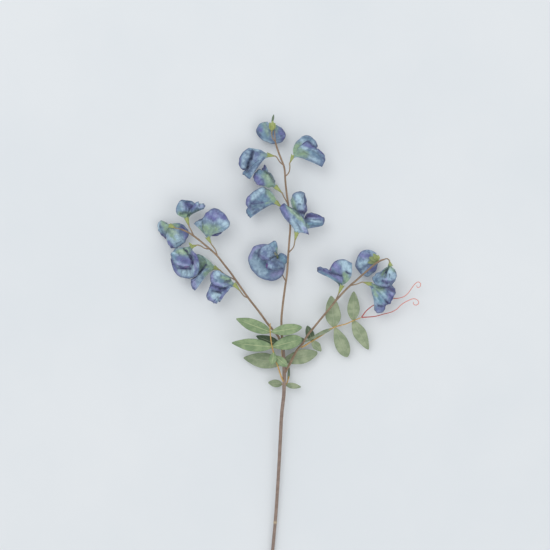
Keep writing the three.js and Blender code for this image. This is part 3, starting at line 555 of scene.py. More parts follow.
         {"belly": (0, 0, 4), "ruffle": 1, "waves": 5, "scallop": 0.2,
          "rim": [(-5, 23, -1), (-7, 33, -1), (-7, 41, 0), (-2, 47, 1), (5, 48, 1), (10, 45, -1),
                  (12, 34, -3), (13, 25, -6)],
          "strokes": [
              ("pale", 1, 43, 4, 34.5, 3.8, 0.98, 0.6), ("pale", 7.5, 30, 5, 26, 2, 0.57, 0.4),
              ("green", -6, 38, -2, 24.5, 2.8, 0.98, 0), ("teal", 4, 48, 9, 47, 1.9, 0.7, 0),
              ("plum", 11, 33, 11, 24.5, 1.5, 0.98, 0), ("plum", 0, 22, 10, 23, 2.5, 0.9, 0),
              ("violet", 7.5, 30.5, 9.5, 25.5, 1.6, 0.6, 0), ("pale", -2.5, 45.5, 0, 45.5, 1.5, 0.46, 0),
              ("violet", 2.5, 24.5, 5, 22, 2, 0.6, 0)]},
         {"belly": (0, 0, 4), "ruffle": 0.4, "waves": 3, "scallop": 0.08,
          "rim": [(12, 21, -8), (19, 22, -4), (29, 18, -2), (34, 15, -2), (32, 6, -5), (19, 4, -7)],
          "strokes": [
              ("plum", 7.5, 23, 11, 17, 2.8, 0.98, 0), ("plum", 11, 18, 26, 17.5, 2.5, 0.95, 0),
              ("violet", 11, 20, 30, 15.5, 2.5, 0.9, 0), ("lilac", 14, 15, 26, 15, 0.8, 0.5, 0.4),
              ("pale", 14, 12, 30, 10.5, 1.4, 0.92, 0.4), ("teal", 12.5, 7.5, 30, 7, 2, 0.85, 0),
              ("plum", 31.5, 17.5, 33.5, 11, 1, 0.9, 0), ("green", 7.5, 9.5, 14, 4, 2.2, 0.77, 0),
              ("plum", 19, 21.5, 29, 17.5, 0.8, 0.67, 0)]},
     ]},
    {"name": "top_bloom_7",
     "foot": 0.4,
     "calyx": {"reach": 0.9, "tooth": 0.3, "girth": 0.6},
     "stalk": [(-4, 120.5, 22.5), (-6.5, 125, 12), (-10.5, 133.5, 4.5), (-12.5, 142, 4)],
     "throat": (-15, 154, 15),
     "shadedCreases": [
         ("shade", -22, 5.5, -23, -2, 1.8, 0.84, -0.9), ("plum", -21, -2, -16, -6.5, 2, 0.67, -0.4),
         ("shade", -9, -4.5, -1, -2, 1, 0.84, -0.6), ("shade", -6, -9.5, 4, -17, 2.5, 0.54, -0.8),
         ("shade", -4, -5.5, 9, -13, 0.8, 0.42, -0.6)],
     "petals": [
         {"belly": (0, 0, -3), "ruffle": 0.7, "waves": 9, "pleats": 0.1, "scallop": 0.15,
          "rim": [(-1, 9, -2), (-8, 12, -1), (-18, 13, 0), (-29, 9.5, 2), (-35, -1, 3), (-35, -12.5, 3),
                  (-28, -23.5, 2), (-17.5, -31, 1), (-6, -33, 0), (4.5, -29, -1), (9.5, -19, -2),
                  (11, -9, -3)],
          "strokes": [
              ("lilac", -17.5, 12, -30, 7, 2.5, 0.9, 0), ("lilac", -30, 7, -34, -4.5, 2.2, 0.9, 0),
              ("pale", -30, -8, -19, -22, 5.6, 0.69, 0), ("teal", -26, -4.5, -11, -22, 3.8, 0.35, 0),
              ("shade", -25, -20, -24, -22, 1.5, 0.48, 0), ("lilac", -5, -25.5, 6, -22, 3.8, 0.85, 0),
              ("plum", -11, -32, 4, -29.5, 0.8, 0.56, 0), ("shade", -29, 3, -25, 0.5, 1.9, 0.3, 0)]},
         {"belly": (-1, 1, 5), "ruffle": 1, "waves": 6,
          "rim": [(1, 9, 7), (-2, 17, 7), (-10, 13, 10), (-19, 9, 12), (-24, -1, 13), (-20, -6, 14),
                  (-12, -7, 14), (-8, -4, 11)],
          "strokes": [
              ("violet", -19, -2, -10, -7, 2.5, 0.7, 0), ("teal", -6, 14.5, -1, 9.5, 3.1, 0.6, 0),
              ("green", 0, 7, 0.5, 3, 1.9, 0.77, 0), ("violet", -17.5, 5.5, -14, 0.5, 2.5, 0.3, 0),
              ("shade", -7.5, 16, -4, 17.5, 0.9, 0.48, 0)]},
         {"belly": (1, -1, 5), "ruffle": 1, "waves": 6,
          "rim": [(-8, -6, 11), (-13, -11, 14), (-14, -17, 14), (-5, -20, 14), (7, -18, 10), (12, -10, 4),
                  (12, -2, 4), (5, 2, 4)],
          "strokes": [
              ("teal", 5, -3, 10, -9.5, 3.8, 0.7, 0), ("plum", -12.5, -9.5, -14, -15.5, 1.6, 0.95, 0),
              ("plum", -14, -15.5, -7.5, -19.5, 1.2, 0.78, 0),
              ("magenta", -13, -14, -13, -15, 1.1, 0.6, 0), ("shade", -11, -19, 7.5, -17.5, 1, 0.72, 0),
              ("violet", -10, -8, -6, -12, 1.9, 0.5, 0)]},
         {"belly": (0, 0, 1.2), "ruffle": 0.1, "waves": 2,
          "rim": [(-3, 3.5, 7.5), (-3.5, 1, 8.5), (-0.5, 0, 8.5), (1.5, 2.5, 7.5)],
          "stains": [("pollen", 0.5, 0.6, 0.5, 0.5, 1)]},
     ]},
    {"name": "left_bloom_1",
     "stalk": [(-119, 177, 26), (-122, 184, 26.5), (-125, 190.5, 27)],
     "throat": (-128.5, 201.5, 27),
     "shadedCreases": [
         ("shade", 0, 17, 1.5, 9.5, 1.2, 0.6, -0.9), ("shade", -6.5, 12, -3, 11, 1.1, 0.48, -0.6),
         ("shade", 16.5, 15.5, 17, 12, 0.8, 0.48, -0.6)],
     "petals": [
         {"belly": (-9, -2, 0), "ruffle": 0.8, "waves": 5,
          "rim": [(4, 4, 7), (3, 12, 8), (-2, 18, 6), (-8, 19, 2), (-1, 20, -5), (7, 19, -9), (12, 14, -9),
                  (10, 7, -7)],
          "strokes": [
              ("pale", -6.5, 17, -4, 10.5, 2.5, 0.8, 0.4), ("teal", -9.5, 12.5, -7, 8, 2.5, 0.6, 0),
              ("violet", 2, 15.5, 7, 9.5, 3.1, 0.95, 0), ("plum", 6, 13, 10, 9.5, 2, 0.95, 0),
              ("magenta", 7.5, 11, 8.5, 10, 1.1, 0.4, 0), ("moss", -6.5, 3, 12, 6, 1.9, 0.98, 0),
              ("green", -7, 3, 2, 0.5, 2.8, 0.98, 0), ("teal", -5, 19, 5, 19, 1.2, 0.6, 0),
              ("lilac", -3, 15.5, -1.5, 9.5, 1.2, 0.4, 0.4)],
          "stains": [("green", 0.5, 0.15, 0.6, 0.25, 0.95)]},
         {"belly": (0, 0, 1), "ruffle": 0.4, "waves": 3, "pleats": 0,
          "rim": [(8, 11, 3), (15, 18, 2), (18, 15, 1), (22, 16, 0), (24, 12, -2), (22, 9, -3)],
          "strokes": [
              ("moss", 3.5, 1, 15, 7.5, 2, 0.98, 0), ("violet", 7, 9.5, 12, 13.5, 1.9, 0.8, 0),
              ("pale", 15, 15.5, 21, 14.5, 1.8, 0.69, 0.2), ("lilac", 16, 12.5, 22, 12.5, 1.5, 0.6, 0),
              ("shade", 13.5, 9, 21, 9.5, 0.8, 0.6, 0), ("green", 1, -0.5, 5, 3, 1.9, 0.88, 0)],
          "stains": [("green", 0.5, 0.2, 0.6, 0.2, 0.8)]},
         {"belly": (0, 0, -1),
          "rim": [(10, 12, -5), (17, 16, -6), (21, 13, -5), (18, 9, -4)],
          "stains": [("green", 0.5, 0.6, 0.5, 0.5, 0.8)]},
     ]},
    {"name": "left_bloom_2",
     "stalk": [(-134, 185, 27), (-138, 186, 27.5), (-142, 187, 27)],
     "throat": (-150, 190.5, 21),
     "shadedCreases": [
         ("shade", 9, -24, 15, -20, 1, 0.54, -0.8), ("shade", -11.5, 0.5, -10.5, -2.5, 0.9, 0.54, -0.4)],
     "petals": [
         {"belly": (0, -3, 2), "ruffle": 0.7, "waves": 7, "scallop": 0.2,
          "rim": [(7, 3, -5), (17, 1, -6), (24, -8, -7), (22, -17, -7), (15, -25, -6), (4, -29, -5),
                  (-2, -23, -5), (-4, -13, -4)],
          "strokes": [
              ("green", 1, -7, 7.5, -16, 4.5, 0.98, 0), ("mint", 4, -7, 10, -12, 2.5, 0.66, 0.4),
              ("green", 4, 1.5, 12.5, -1, 2, 0.94, 0), ("violet", 15, -2, 21, -7, 2, 0.9, 0),
              ("violet", 19, -8.5, 22.5, -16, 2.8, 0.9, 0), ("plum", 14, -0.5, 21, -6, 1, 0.9, 0),
              ("pale", 10, -14, 15, -19.5, 3.8, 0.98, 0.5), ("violet", -1, -21, 4, -27, 2.1, 0.8, 0),
              ("plum", 2.5, -26.5, 5.5, -28.5, 1.1, 0.9, 0), ("pale", 4, -18.5, 8, -23.5, 2.5, 0.75, 0),
              ("teal", 7.5, -24.5, 15, -23.5, 1.5, 0.5, 0), ("plum", 23, -8.5, 23, -14.5, 0.8, 0.67, 0),
              ("moss", -1, -1, 0.5, -8.5, 1.5, 0.57, 0), ("lilac", 19, -12, 19.5, -17, 1.2, 0.5, 0)]},
         {"belly": (-2, 0, 3), "ruffle": 0.4, "waves": 4, "scallop": 0.1,
          "rim": [(-3, 3, -4), (-11, 6, -7), (-15, -2, -9), (-12, -10, -12), (-5, -17, -14)],
          "strokes": [
              ("green", -7.5, 4.5, -2.5, -7, 3.5, 0.98, 0), ("pale", -13, 3.5, -14.5, -3.5, 2, 0.86, 0),
              ("teal", -11, -3.5, -10, -8.5, 1.6, 0.6, 0), ("plum", -10, -10.5, -6, -16, 1.9, 0.98, 0),
              ("magenta", -7.5, -15.5, -5.5, -16, 1, 0.5, 0), ("moss", -7.5, 4.5, -2.5, 3, 1.2, 0.57, 0),
              ("moss", -10, -6, -5, -13.5, 1.1, 0.46, 0)],
          "stains": [("green", 0.5, 0.2, 0.6, 0.28, 0.9)]},
         {"belly": (0, 0, 0),
          "rim": [(-6, -1, -15), (-8, -10, -21), (-1, -17, -21), (4, -12, -18), (4, -6, -15)],
          "stains": [("violet", 0.5, 0.8, 0.4, 0.4, 0.5)]},
     ]},
    {"name": "left_bloom_3",
     "stalk": [(-89.5, 152, 24), (-91.5, 159, 25.5), (-97.5, 168, 27)],
     "throat": (-102.5, 177, 28),
     "shadedCreases": [
         ("shade", 13, 29, 13.5, 27.5, 1.1, 0.6, -0.4), ("moss", 6, 10, 12.5, 14, 2, 0.46, -0.4),
         ("shade", 6, 21.5, 7.5, 17.5, 1.2, 0.48, -0.4)],
     "petals": [
         {"belly": (0, 0, 5), "ruffle": 0.7, "waves": 8, "pleats": 0.12, "scallop": 0.15,
          "rim": [(-5, 5, 0), (-6, 14, 2), (-4, 23, 4), (3, 31, 6), (11, 34, 6), (19, 30, 5), (26, 22, 3),
                  (29, 15, 1), (26, 9, 0), (19, 5, -1)],
          "strokes": [
              ("violet", -1, 27.5, 9, 21.5, 5, 0.9, 0), ("violet", 10, 29, 22.5, 22.5, 4.4, 0.9, 0),
              ("lilac", 11, 29, 12.5, 24, 1.9, 0.6, 0.5), ("plum", 5, 32, 15, 32, 1.1, 0.67, 0),
              ("pale", 17.5, 19, 25, 14, 4, 0.98, 0.4), ("green", -2.5, 9, 11, 7.5, 5.6, 0.98, 0),
              ("moss", -5, 17.5, -4.5, 2.5, 1.2, 0.69, 0), ("teal", 17.5, 9, 24, 9, 1.9, 0.5, 0)],
          "stains": [("green", 0.5, 0.25, 0.6, 0.3, 0.95)]},
         {"belly": (0, 0, -2), "ruffle": 0.8, "waves": 4,
          "rim": [(8, 1, -9), (14, 1, -10), (20, 6, -12), (21, 16, -15), (14, 21, -15)],
          "strokes": [
              ("plum", 5, 0, 17.5, 5, 2.5, 0.9, 0), ("violet", 7.5, -1, 14, 1.5, 2.5, 0.8, 0)]},
         {"belly": (0, 0, 1),
          "rim": [(-2, 26, -11), (-8, 21, -10), (-16, 16, -9), (-12, 13, -8), (-6, 9, -6)],
          "strokes": [
              ("shade", -14, 19, -6, 20.5, 1, 0.84, 0), ("pale", -14, 16.5, -9, 16.5, 2.5, 0.57, 0),
              ("green", -9, 10, -5, 5, 2.2, 0.77, 0)]},
     ]},
    {"name": "left_bloom_4",
     "sepals": [
         {"base": (-119.2, 162.6, 29.4), "tip": (-124.2, 168.3, 33),
          "width": 3, "lift": 0.5, "roll": 0, "dark": 0},
     ],
     "stalk": [(-99, 160.5, 24.5), (-105, 161.5, 26), (-110, 164.5, 27), (-115.5, 165, 28)],
     "throat": (-124.5, 162.5, 28.5),
     "shadedCreases": [
         ("shade", -3, -28, -2, -35.5, 0.8, 0.42, -0.6), ("shade", 2, -28, 2, -35.5, 0.6, 0.36, -0.6),
         ("shade", -9, -29, -9, -35, 0.6, 0.36, -0.4), ("plum", -7, -15.5, -3, -17.5, 2.2, 0.62, -0.9),
         ("plum", 2, -10.5, 4.5, -20.5, 1.5, 0.98, -0.8), ("shade", -3.5, -3.5, 3, -13, 1.2, 0.98, -0.8),
         ("shade", -13, -6.5, -11, -10, 0.9, 0.6, -0.8)],
     "petals": [
         {"belly": (0, 0, -2), "ruffle": 1, "waves": 8,
          "rim": [(4, -4, -2), (11, -12, -2), (13, -22, 0), (11, -33, 0), (3, -38, 0), (-7, -38, 0),
                  (-16, -33, -2), (-21, -23, -2), (-23, -14, -4)],
          "strokes": [
              ("violet", 6, -6.5, 10, -15.5, 2.8, 0.92, 0), ("lilac", 7, -18, 8, -25.5, 2.2, 0.8, 0),
              ("lilac", 0, -3.5, 6, -9, 1.5, 0.7, 0), ("pale", 6, -24, 4.5, -31.5, 2.8, 0.8, 0),
              ("pale", -7, -30.5, 1, -33, 3.8, 0.92, 0), ("teal", -13.5, -26.5, -9, -33, 1.6, 0.6, 0),
              ("pale", -15, -23, -13, -28, 1.9, 0.69, 0), ("violet", -20.5, -18, -16.5, -29, 2.2, 0.95, 0),
              ("plum", -22, -16, -20.5, -20.5, 1.5, 0.98, 0), ("lilac", -17, -30.5, -12, -34, 1.6, 0.8, 0),
              ("violet", 9.5, -26.5, 7, -34, 1.5, 0.8, 0), ("plum", 10, -8, 12, -18, 0.8, 0.67, 0),
              ("plum", -14, -25.5, 2.5, -26.5, 1.6, 0.98, 0), ("green", -3, -1, 2, -3, 1.9, 0.77, 0)]},
         {"belly": (0, 0, 5), "ruffle": 1, "waves": 6,
          "rim": [(-4, -2, 4), (2, -11, 10), (4, -20, 12), (-1, -25, 12), (-12, -24, 12), (-19, -18, 8),
                  (-22, -9, 4), (-17, -2, 2), (-9, 0, 0)],
          "strokes": [
              ("green", -13, -5, -2, -6.5, 3.8, 0.98, 0), ("mint", -10.5, -3.5, -7, -8, 2, 0.55, 0),
              ("teal", -20, -5, -17, -11.5, 3, 0.75, 0), ("pale", -20.5, -6, -14, -10, 1.4, 0.8, 0.5),
              ("pale", -17.5, -15.5, -14, -19, 1.6, 0.57, 0), ("violet", -12, -13.5, 1, -18, 4.2, 0.9, 0),
              ("plum", -11.5, -24, 2, -24.5, 1.1, 0.98, 0), ("magenta", -4, -24.5, 1, -25, 1, 0.5, 0),
              ("lilac", -14, -20.5, -2, -22, 1, 0.85, 0.6), ("shade", 3, -13, 4.5, -21.5, 1, 0.84, 0),
              ("moss", -6, -1.5, -3, -5, 1.2, 0.98, 0), ("teal", -15.5, -12.5, -12, -14, 1.6, 0.5, 0)],
          "stains": [("green", 0.5, 0.22, 0.6, 0.28, 0.95)]},
     ]},
    {"name": "left_bloom_5",
     "stalk": [(-66, 121.5, 23), (-75, 126, 20), (-83, 131, 17), (-88, 135, 15.5)],
     "throat": (-95.5, 138.5, 15),
     "shadedCreases": [
         ("shade", -8, 2.5, -16, -7.5, 1.6, 0.98, -0.8), ("shade", -16, -7.5, -25, -14, 1.6, 0.98, -0.8)],
     "petals": [
         {"belly": (1, 2, 1), "ruffle": 0.8, "waves": 5,
          "rim": [(-11, -3, 4), (-8, 6, 5), (-11, 12, 1), (-17, 16, -2), (-26, 12, -6), (-31, 4, -7),
                  (-30, -6, -6), (-24, -13, -3)],
          "strokes": [
              ("teal", -19.5, 13.5, -16, 11, 2.5, 0.6, 0), ("green", -13, 8.5, -8, 1, 5, 0.98, 0),
              ("green", -4.5, 0, -1, -1.5, 3.1, 0.88, 0), ("moss", -17, 6, -14.5, -1.5, 1.9, 0.57, 0),
              ("moss", -8, 2.5, -13, -4, 1.5, 0.8, 0)],
          "stains": [("green", 0.5, 0.5, 0.6, 0.6, 0.9)]},
         {"belly": (0, 0, 2), "ruffle": 1, "waves": 6,
          "rim": [(-12, -3, 5), (-20, -11, 6), (-27, -16, 5), (-27, -21, 4), (-26, -26, 3), (-23, -29, 1),
                  (-18, -21, -1), (-12, -14, -3)],
          "strokes": [
              ("plum", -25, -14, -21, -12.5, 1.2, 0.9, 0), ("lilac", -24.5, -17.5, -23, -25, 3.5, 0.75, 0),
              ("pale", -12, -4, -17, -14, 1.4, 0.69, 0.4), ("green", -9.5, -9, -2, -4, 2.9, 0.94, 0),
              ("plum", -27, -19, -26.5, -20, 1.2, 0.67, 0), ("plum", -24.5, -26.5, -23, -27, 1.2, 0.67, 0)],
          "stains": [("green", 0.5, 0.25, 0.6, 0.25, 0.9)]},
     ]},
    {"name": "left_bloom_6",
     "stalk": [(-51, 99.5, 22.5), (-56, 102, 23.5), (-62, 109.5, 25)],
     "throat": (-70.5, 119, 26),
     "shadedCreases": [
         ("shade", -14, 9.5, -13, 7, 0.9, 0.72, -0.8), ("shade", -9.5, -0.5, -4.5, 1.5, 1.5, 0.72, -0.6),
         ("plum", -26, -2, -16, -7.5, 1.5, 0.98, -0.8), ("shade", -14.5, -7.5, -9.5, -7, 1.9, 0.98, -0.8),
         ("shade", -24.5, -10.5, -14.5, -13, 1.4, 0.96, -0.9),
         ("shade", -19, -17, -16.5, -23, 0.8, 0.54, -0.6)],
     "petals": [
         {"belly": (1, 1, 4), "ruffle": 1, "waves": 6,
          "rim": [(-3, 7, 3), (-11, 11, 6), (-18, 15, 8), (-25, 13, 9), (-27, 6, 11), (-25, -2, 12),
                  (-17, -6, 12), (-10, -7, 9)],
          "strokes": [
              ("lilac", -26, 13, -24.5, 2, 2, 0.8, 0), ("pale", -20, 13, -17, 9.5, 2.8, 0.98, 0.4),
              ("pale", -23, 9.5, -17, 3, 1.4, 0.69, 0.4), ("green", -13, 7, -4.5, 4, 2.9, 0.98, 0),
              ("moss", -9, 1.5, -3, 3, 1.2, 0.8, 0), ("teal", -17, 4.5, -12, 0.5, 1.8, 0.6, 0),
              ("lilac", -22, -0.5, -16, -3, 1.6, 0.7, 0), ("violet", -24, -1.5, -13, -5, 1.1, 0.7, 0),
              ("plum", -26.5, 5, -26, 3.5, 0.9, 0.67, 0), ("violet", -13, -1.5, -7, -2, 1.5, 0.5, 0)],
          "stains": [("green", 0.5, 0.2, 0.6, 0.25, 0.95)]},
         {"belly": (0, 0, 3), "ruffle": 1.1, "waves": 6,
          "rim": [(-24, -2, 2), (-29, -7, 2), (-32, -19, 1), (-26, -24, 1), (-22, -26, 0), (-16, -23, -2),
                  (-8, -13, -3), (-3, -8, -3)],
          "strokes": [
              ("violet", -26, -5.5, -16, -9.5, 2.4, 0.88, 0), ("plum", -16, -12, -8, -8, 1.5, 0.78, 0),
              ("violet", -31, -14, -27, -19.5, 2, 0.9, 0), ("pale", -24.5, -17, -17, -18, 3.8, 0.98, 0),
              ("mint", -21, -14.5, -18, -17, 1.8, 0.44, 0), ("lilac", -28, -20.5, -21, -24.5, 1.6, 0.7, 0),
              ("violet", -14.5, -19, -8, -10, 1.9, 0.9, 0), ("violet", -9.5, -7, -2, 1, 2.8, 0.88, 0),
              ("teal", -4.5, 0, -2, 3, 1.6, 0.6, 0), ("plum", -32, -17, -30, -20, 0.9, 0.67, 0)]},
         {"belly": (0, 0, -2.5),
          "rim": [(-23, 7, -7), (-28, -3, -10), (-28, -13, -11), (-21, -20, -10), (-13, -12, -8)],
          "stains": [("violet", 0.5, 0.8, 0.4, 0.4, 0.5)]},
     ]},
    {"name": "right_bloom_1",
     "stalk": [(57.5, 96, 23.5), (60, 101, 24), (62, 105.5, 24.5)],
     "throat": (67, 118, 25),
     "shadedCreases": [
         ("shade", 4, 14, 8.5, 12, 1.1, 0.98, -0.8), ("shade", -3, 26.5, -2.5, 19, 0.9, 0.36, -0.6),
         ("plum", -17, 13.5, -2, 9.5, 1.4, 0.98, -0.6)],
     "petals": [
         {"belly": (6, -1, 0), "ruffle": 0.9, "waves": 6,
          "rim": [(-13, 10, 5), (-17, 16, 6), (-11, 26, 7), (0, 30, 6), (10, 25, 2), (1, 28, -6),
                  (-10, 24, -8), (-14, 16, -7), (-11, 9, -5)],
          "strokes": [
              ("violet", -14.5, 25.5, -6, 18.5, 4.5, 0.92, 0), ("lilac", -12, 26.5, -7, 16.5, 2.2, 0.5, 0),
              ("magenta", -16.5, 19.5, -16, 15.5, 1.4, 0.85, 0), ("plum", -16, 24, -8, 28.5, 0.9, 0.67, 0),
              ("pale", -2, 27, 0.5, 19, 3, 0.98, 0), ("pale", 3, 26.5, 8, 16.5, 3.2, 0.92, 0.4),
              ("teal", 9, 24, 11.5, 16.5, 1.6, 0.6, 0), ("green", 2, 10.5, 7.5, 3, 3.8, 0.98, 0),
              ("moss", -1, 4, 3, -1, 2, 0.8, 0), ("violet", -8, 15.5, -3, 12.5, 1.9, 0.7, 0),
              ("plum", 12, 23, 12.5, 15.5, 0.8, 0.56, 0), ("plum", -7, 30, 2, 29, 0.8, 0.45, 0)],
          "stains": [("green", 0.5, 0.2, 0.6, 0.24, 0.9)]},
         {"belly": (0, 0, 2), "ruffle": 0.8, "waves": 4,
          "rim": [(0, 8, 7), (-10, 12, 9), (-21, 18, 7), (-31, 20, 3), (-32, 15, 1), (-26, 11, 0)],
          "strokes": [
              ("shade", -16, 13.5, -7, 11, 1, 0.84, 0), ("violet", -22, 15.5, -12, 10.5, 2.2, 0.85, 0),
              ("plum", -31, 19, -21, 14.5, 1.8, 0.78, 0), ("shade", -32, 19.5, -32, 16, 1.4, 0.98, 0),
              ("violet", -11, 9, -3, 6, 2.5, 0.88, 0), ("lilac", -7, 8, -1.5, 3.5, 1.5, 0.6, 0.5),
              ("teal", -26, 13.5, -8, 3.5, 1.4, 0.8, 0), ("moss", -11, 1.5, -1, -1.5, 1.8, 0.92, 0),
              ("plum", -1, 9.5, 1, 3, 0.9, 0.78, 0), ("lilac", -26, 18, -18, 14.5, 0.8, 0.4, 0.4)]},
         {"belly": (0, 0, -1),
          "rim": [(-2, 7, -7), (-11, 10, -8), (-22, 16, -5), (-28, 15, -2)],
          "stains": [("violet", 0.5, 0.8, 0.4, 0.4, 0.6)]},
     ]},
    {"name": "right_bloom_2",
     "sepals": [
         {"base": (109.4, 145.1, 25), "tip": (98.1, 143.5, 23),
          "width": 5.5, "lift": 0.8, "roll": 20, "dark": 0.55},
         {"base": (109.8, 146, 25), "tip": (99.8, 150.1, 23.5),
          "width": 6.5, "lift": 0.8, "roll": 10, "dark": 0.5},
         {"base": (110.4, 147, 25.2), "tip": (105, 155, 24),
          "width": 5.5, "lift": 0.8, "roll": 0, "dark": 0.3},
         {"base": (111.2, 147, 25), "tip": (111, 153, 24.5),
          "width": 4, "lift": 0.8, "roll": 0, "dark": 0},
     ],
     "stalk": [(111, 144, 27.5), (112, 144.5, 24.5)],
     "throat": (107.5, 150.5, 19),
     "shadedCreases": [
         ("moss", -5, -3, -4, -5.5, 1.6, 0.8, -0.4)],
     "petals": [
         {"belly": (-1, 0, 4), "ruffle": 0.6, "waves": 5, "scallop": 0.08,
          "rim": [(2, 5, -2), (-6, 9, -4), (-16, 8, -5), (-22, -1, -6), (-24, -11, -6), (-17, -21, -6),
                  (-8, -24, -5), (1, -17, -4), (4, -8, -3)],
          "strokes": [
              ("violet", -19, 4, -9, 1.5, 4.4, 0.85, 0), ("lilac", -16, 1.5, -14, -1, 1.9, 0.5, 0),
              ("pale", -20, -8.5, -11, -6, 3, 0.86, 0), ("shade", -17.5, -16, -9, -9, 1.9, 0.42, 0),
              ("violet", -6, -14.5, 0, -14.5, 4.5, 0.85, 0), ("plum", -23, -4.5, -21, -14.5, 0.9, 0.67, 0),
              ("plum", 4, -8.5, 2, -17, 0.9, 0.67, 0), ("green", -8, -0.5, -2.5, -6, 3.5, 0.98, 0),
              ("shade", -7.5, 5.5, -6, 1.5, 1.2, 0.36, 0)],
          "stains": [("green", 0.3, 0.12, 0.4, 0.15, 0.5)]},
         {"belly": (0, 0, 0),
          "rim": [(-5, 4, -12), (-14, 0, -18), (-15, -8, -19), (-8, -10, -13)],
          "stains": [("violet", 0.5, 0.9, 0.4, 0.3, 0.6)]},
         {"belly": (0, 0, 0),
          "rim": [(-1, -5, -13), (-2, -12, -18), (-10, -17, -19), (-9, -10, -12)],
          "stains": [("violet", 0.5, 0.9, 0.4, 0.3, 0.6)]},
     ]},
    {"name": "right_bloom_3",
     "stalk": [(118, 147.5, 29.5), (121, 148.5, 30), (124, 147, 30), (125, 144.5, 29.5)],
     "throat": (126, 139, 28),
     "shadedCreases": [
         ("shade", -18, -17, -16, -19.5, 1.5, 0.6, -0.4), ("moss", -1, 1, -8.5, -13, 1.1, 0.92, -0.6),
         ("moss", 1, -1.5, 1.5, -2.5, 0.8, 0.57, -0.3), ("moss", 3.5, -5, 4, -6.5, 0.8, 0.57, -0.3),
         ("shade", -2, -10, -2, -13, 1, 0.72, -0.6), ("plum", -10, -18, -5, -20.5, 1.5, 0.98, -0.4),
         ("plum", -5, -20.5, 3, -18, 1.5, 0.9, -0.4), ("shade", -5, -3, -7, -14.5, 1.1, 0.72, -0.4)],
     "petals": [
         {"belly": (0, 0, -1), "ruffle": 1.2, "waves": 9, "scallop": 0.3,
          "rim": [(-5, -1, 2), (-13, -7, 3), (-22, -13, 3), (-20, -21, 2), (-12, -25, 1), (-3, -25, 0),
                  (3, -22, -1), (8, -12, -2), (6, -4, -1)],
          "strokes": [
              ("teal", -20, -15.5, -12, -20.5, 3.8, 0.6, 0),
              ("green", -3.5, -0.5, -10, -10.5, 2.1, 0.94, 0), ("pale", -15, -22, -11, -23, 1.6, 0.46, 0),
              ("lilac", -8.5, -23, -2, -24, 1.6, 0.6, 0), ("plum", 0, -22, 3, -20.5, 1.2, 0.67, 0)],
          "stains": [("green", 0.5, 0.12, 0.6, 0.16, 0.7)]},
         {"belly": (0, 0, 5), "ruffle": 1, "waves": 6,
          "rim": [(2, -2, 5), (6, -7, 9), (6, -14, 11), (1, -20, 12), (-8, -20, 12), (-11, -17, 11),
                  (-6, -7, 8)],
          "strokes": [
              ("green", 1.5, 0.5, 4, -5.5, 2.5, 0.83, 0), ("pale", -2, -7, 4, -13, 3.5, 0.86, 0.4),
              ("shade", 6.5, -4.5, 7, -15.5, 1, 0.72, 0), ("lilac", -7, -15, -6, -17, 1.5, 0.7, 0)],
          "stains": [("green", 0.4, 0.2, 0.5, 0.28, 0.8)]},
     ]},
    {"name": "right_bloom_4",
     "stalk": [(76, 115, 25), (85, 117, 23.5), (93.5, 119, 21.5)],
     "throat": (105, 116, 19.5),
     "shadedCreases": [
         ("plum", 20, -5, 27, -8.5, 2, 0.95, -0.6), ("shade", 16, -21.5, 18, -22.5, 1.2, 0.72, -0.6),
         ("shade", 17.5, -7.5, 21, -14, 0.8, 0.54, -0.6), ("plum", 5.5, -26, 12.5, -27, 1.4, 0.98, -0.9)],
     "petals": [
         {"belly": (1, 0, 3), "ruffle": 0.8, "waves": 5, "scallop": 0.3,
          "rim": [(18, 1, -6), (26, -3, -2), (28, -9, 6), (24, -17, 8), (21, -23, 8), (15, -25, 6),
                  (11, -20, 6)],
          "strokes": [
              ("green", 1, -5, 10, -6.5, 4, 0.98, 0), ("moss", 4, -3.5, 14, -4.5, 1.2, 0.8, 0),
              ("teal", 6, -11.5, 16, -12.5, 4, 0.8, 0), ("pale", 10, -9, 15, -14, 1.9, 0.69, 0),
              ("violet", 16, -2.5, 25, -6.5, 3.2, 0.95, 0), ("violet", 19, -11.5, 24, -17.5, 3, 0.92, 0),
              ("plum", 16, -21, 20, -23.5, 2, 0.98, 0), ("lilac", 22.5, -10, 25.5, -14, 1.1, 0.75, 0.4),
              ("lilac", 19, -14, 17.5, -17.5, 1, 0.6, 0.4), ("plum", 24, -15, 21, -20, 1, 0.78, 0),
              ("plum", 9, -2, 20, -2, 1, 0.56, 0)],
          "stains": [("green", 0.5, 0.2, 0.6, 0.28, 0.9)]},
         {"belly": (-2, 0, 4), "ruffle": 0.7, "waves": 3, "scallop": 0.3,
          "rim": [(12, -15, 6), (15, -23, 8), (15, -28, 6), (12, -34, 4), (4, -35, 0), (2, -31, -4)],
          "strokes": [
              ("teal", 4, -15, 11, -21.5, 4, 0.9, 0), ("pale", 3, -15, 6, -20, 1.4, 0.46, 0),
              ("shade", 6, -26, 10, -26.5, 0.8, 0.84, 0), ("violet", 5, -31.5, 12.5, -29, 2.5, 0.9, 0),
              ("lilac", 5, -34, 11, -34.5, 1.1, 0.85, 0.4), ("plum", 14.5, -24, 14.5, -30, 1, 0.67, 0),
              ("violet", 12.5, -22.5, 15, -26.5, 1.5, 0.7, 0), ("green", 1, -6.5, 4, -14, 2.2, 0.94, 0)]},
         {"belly": (0, 0, -1),
          "rim": [(19, -6, -6), (19, -16, -6), (12, -25, -4), (5, -30, -2)],
          "stains": [("violet", 0.5, 0.8, 0.4, 0.4, 0.5)]},
     ]},
]


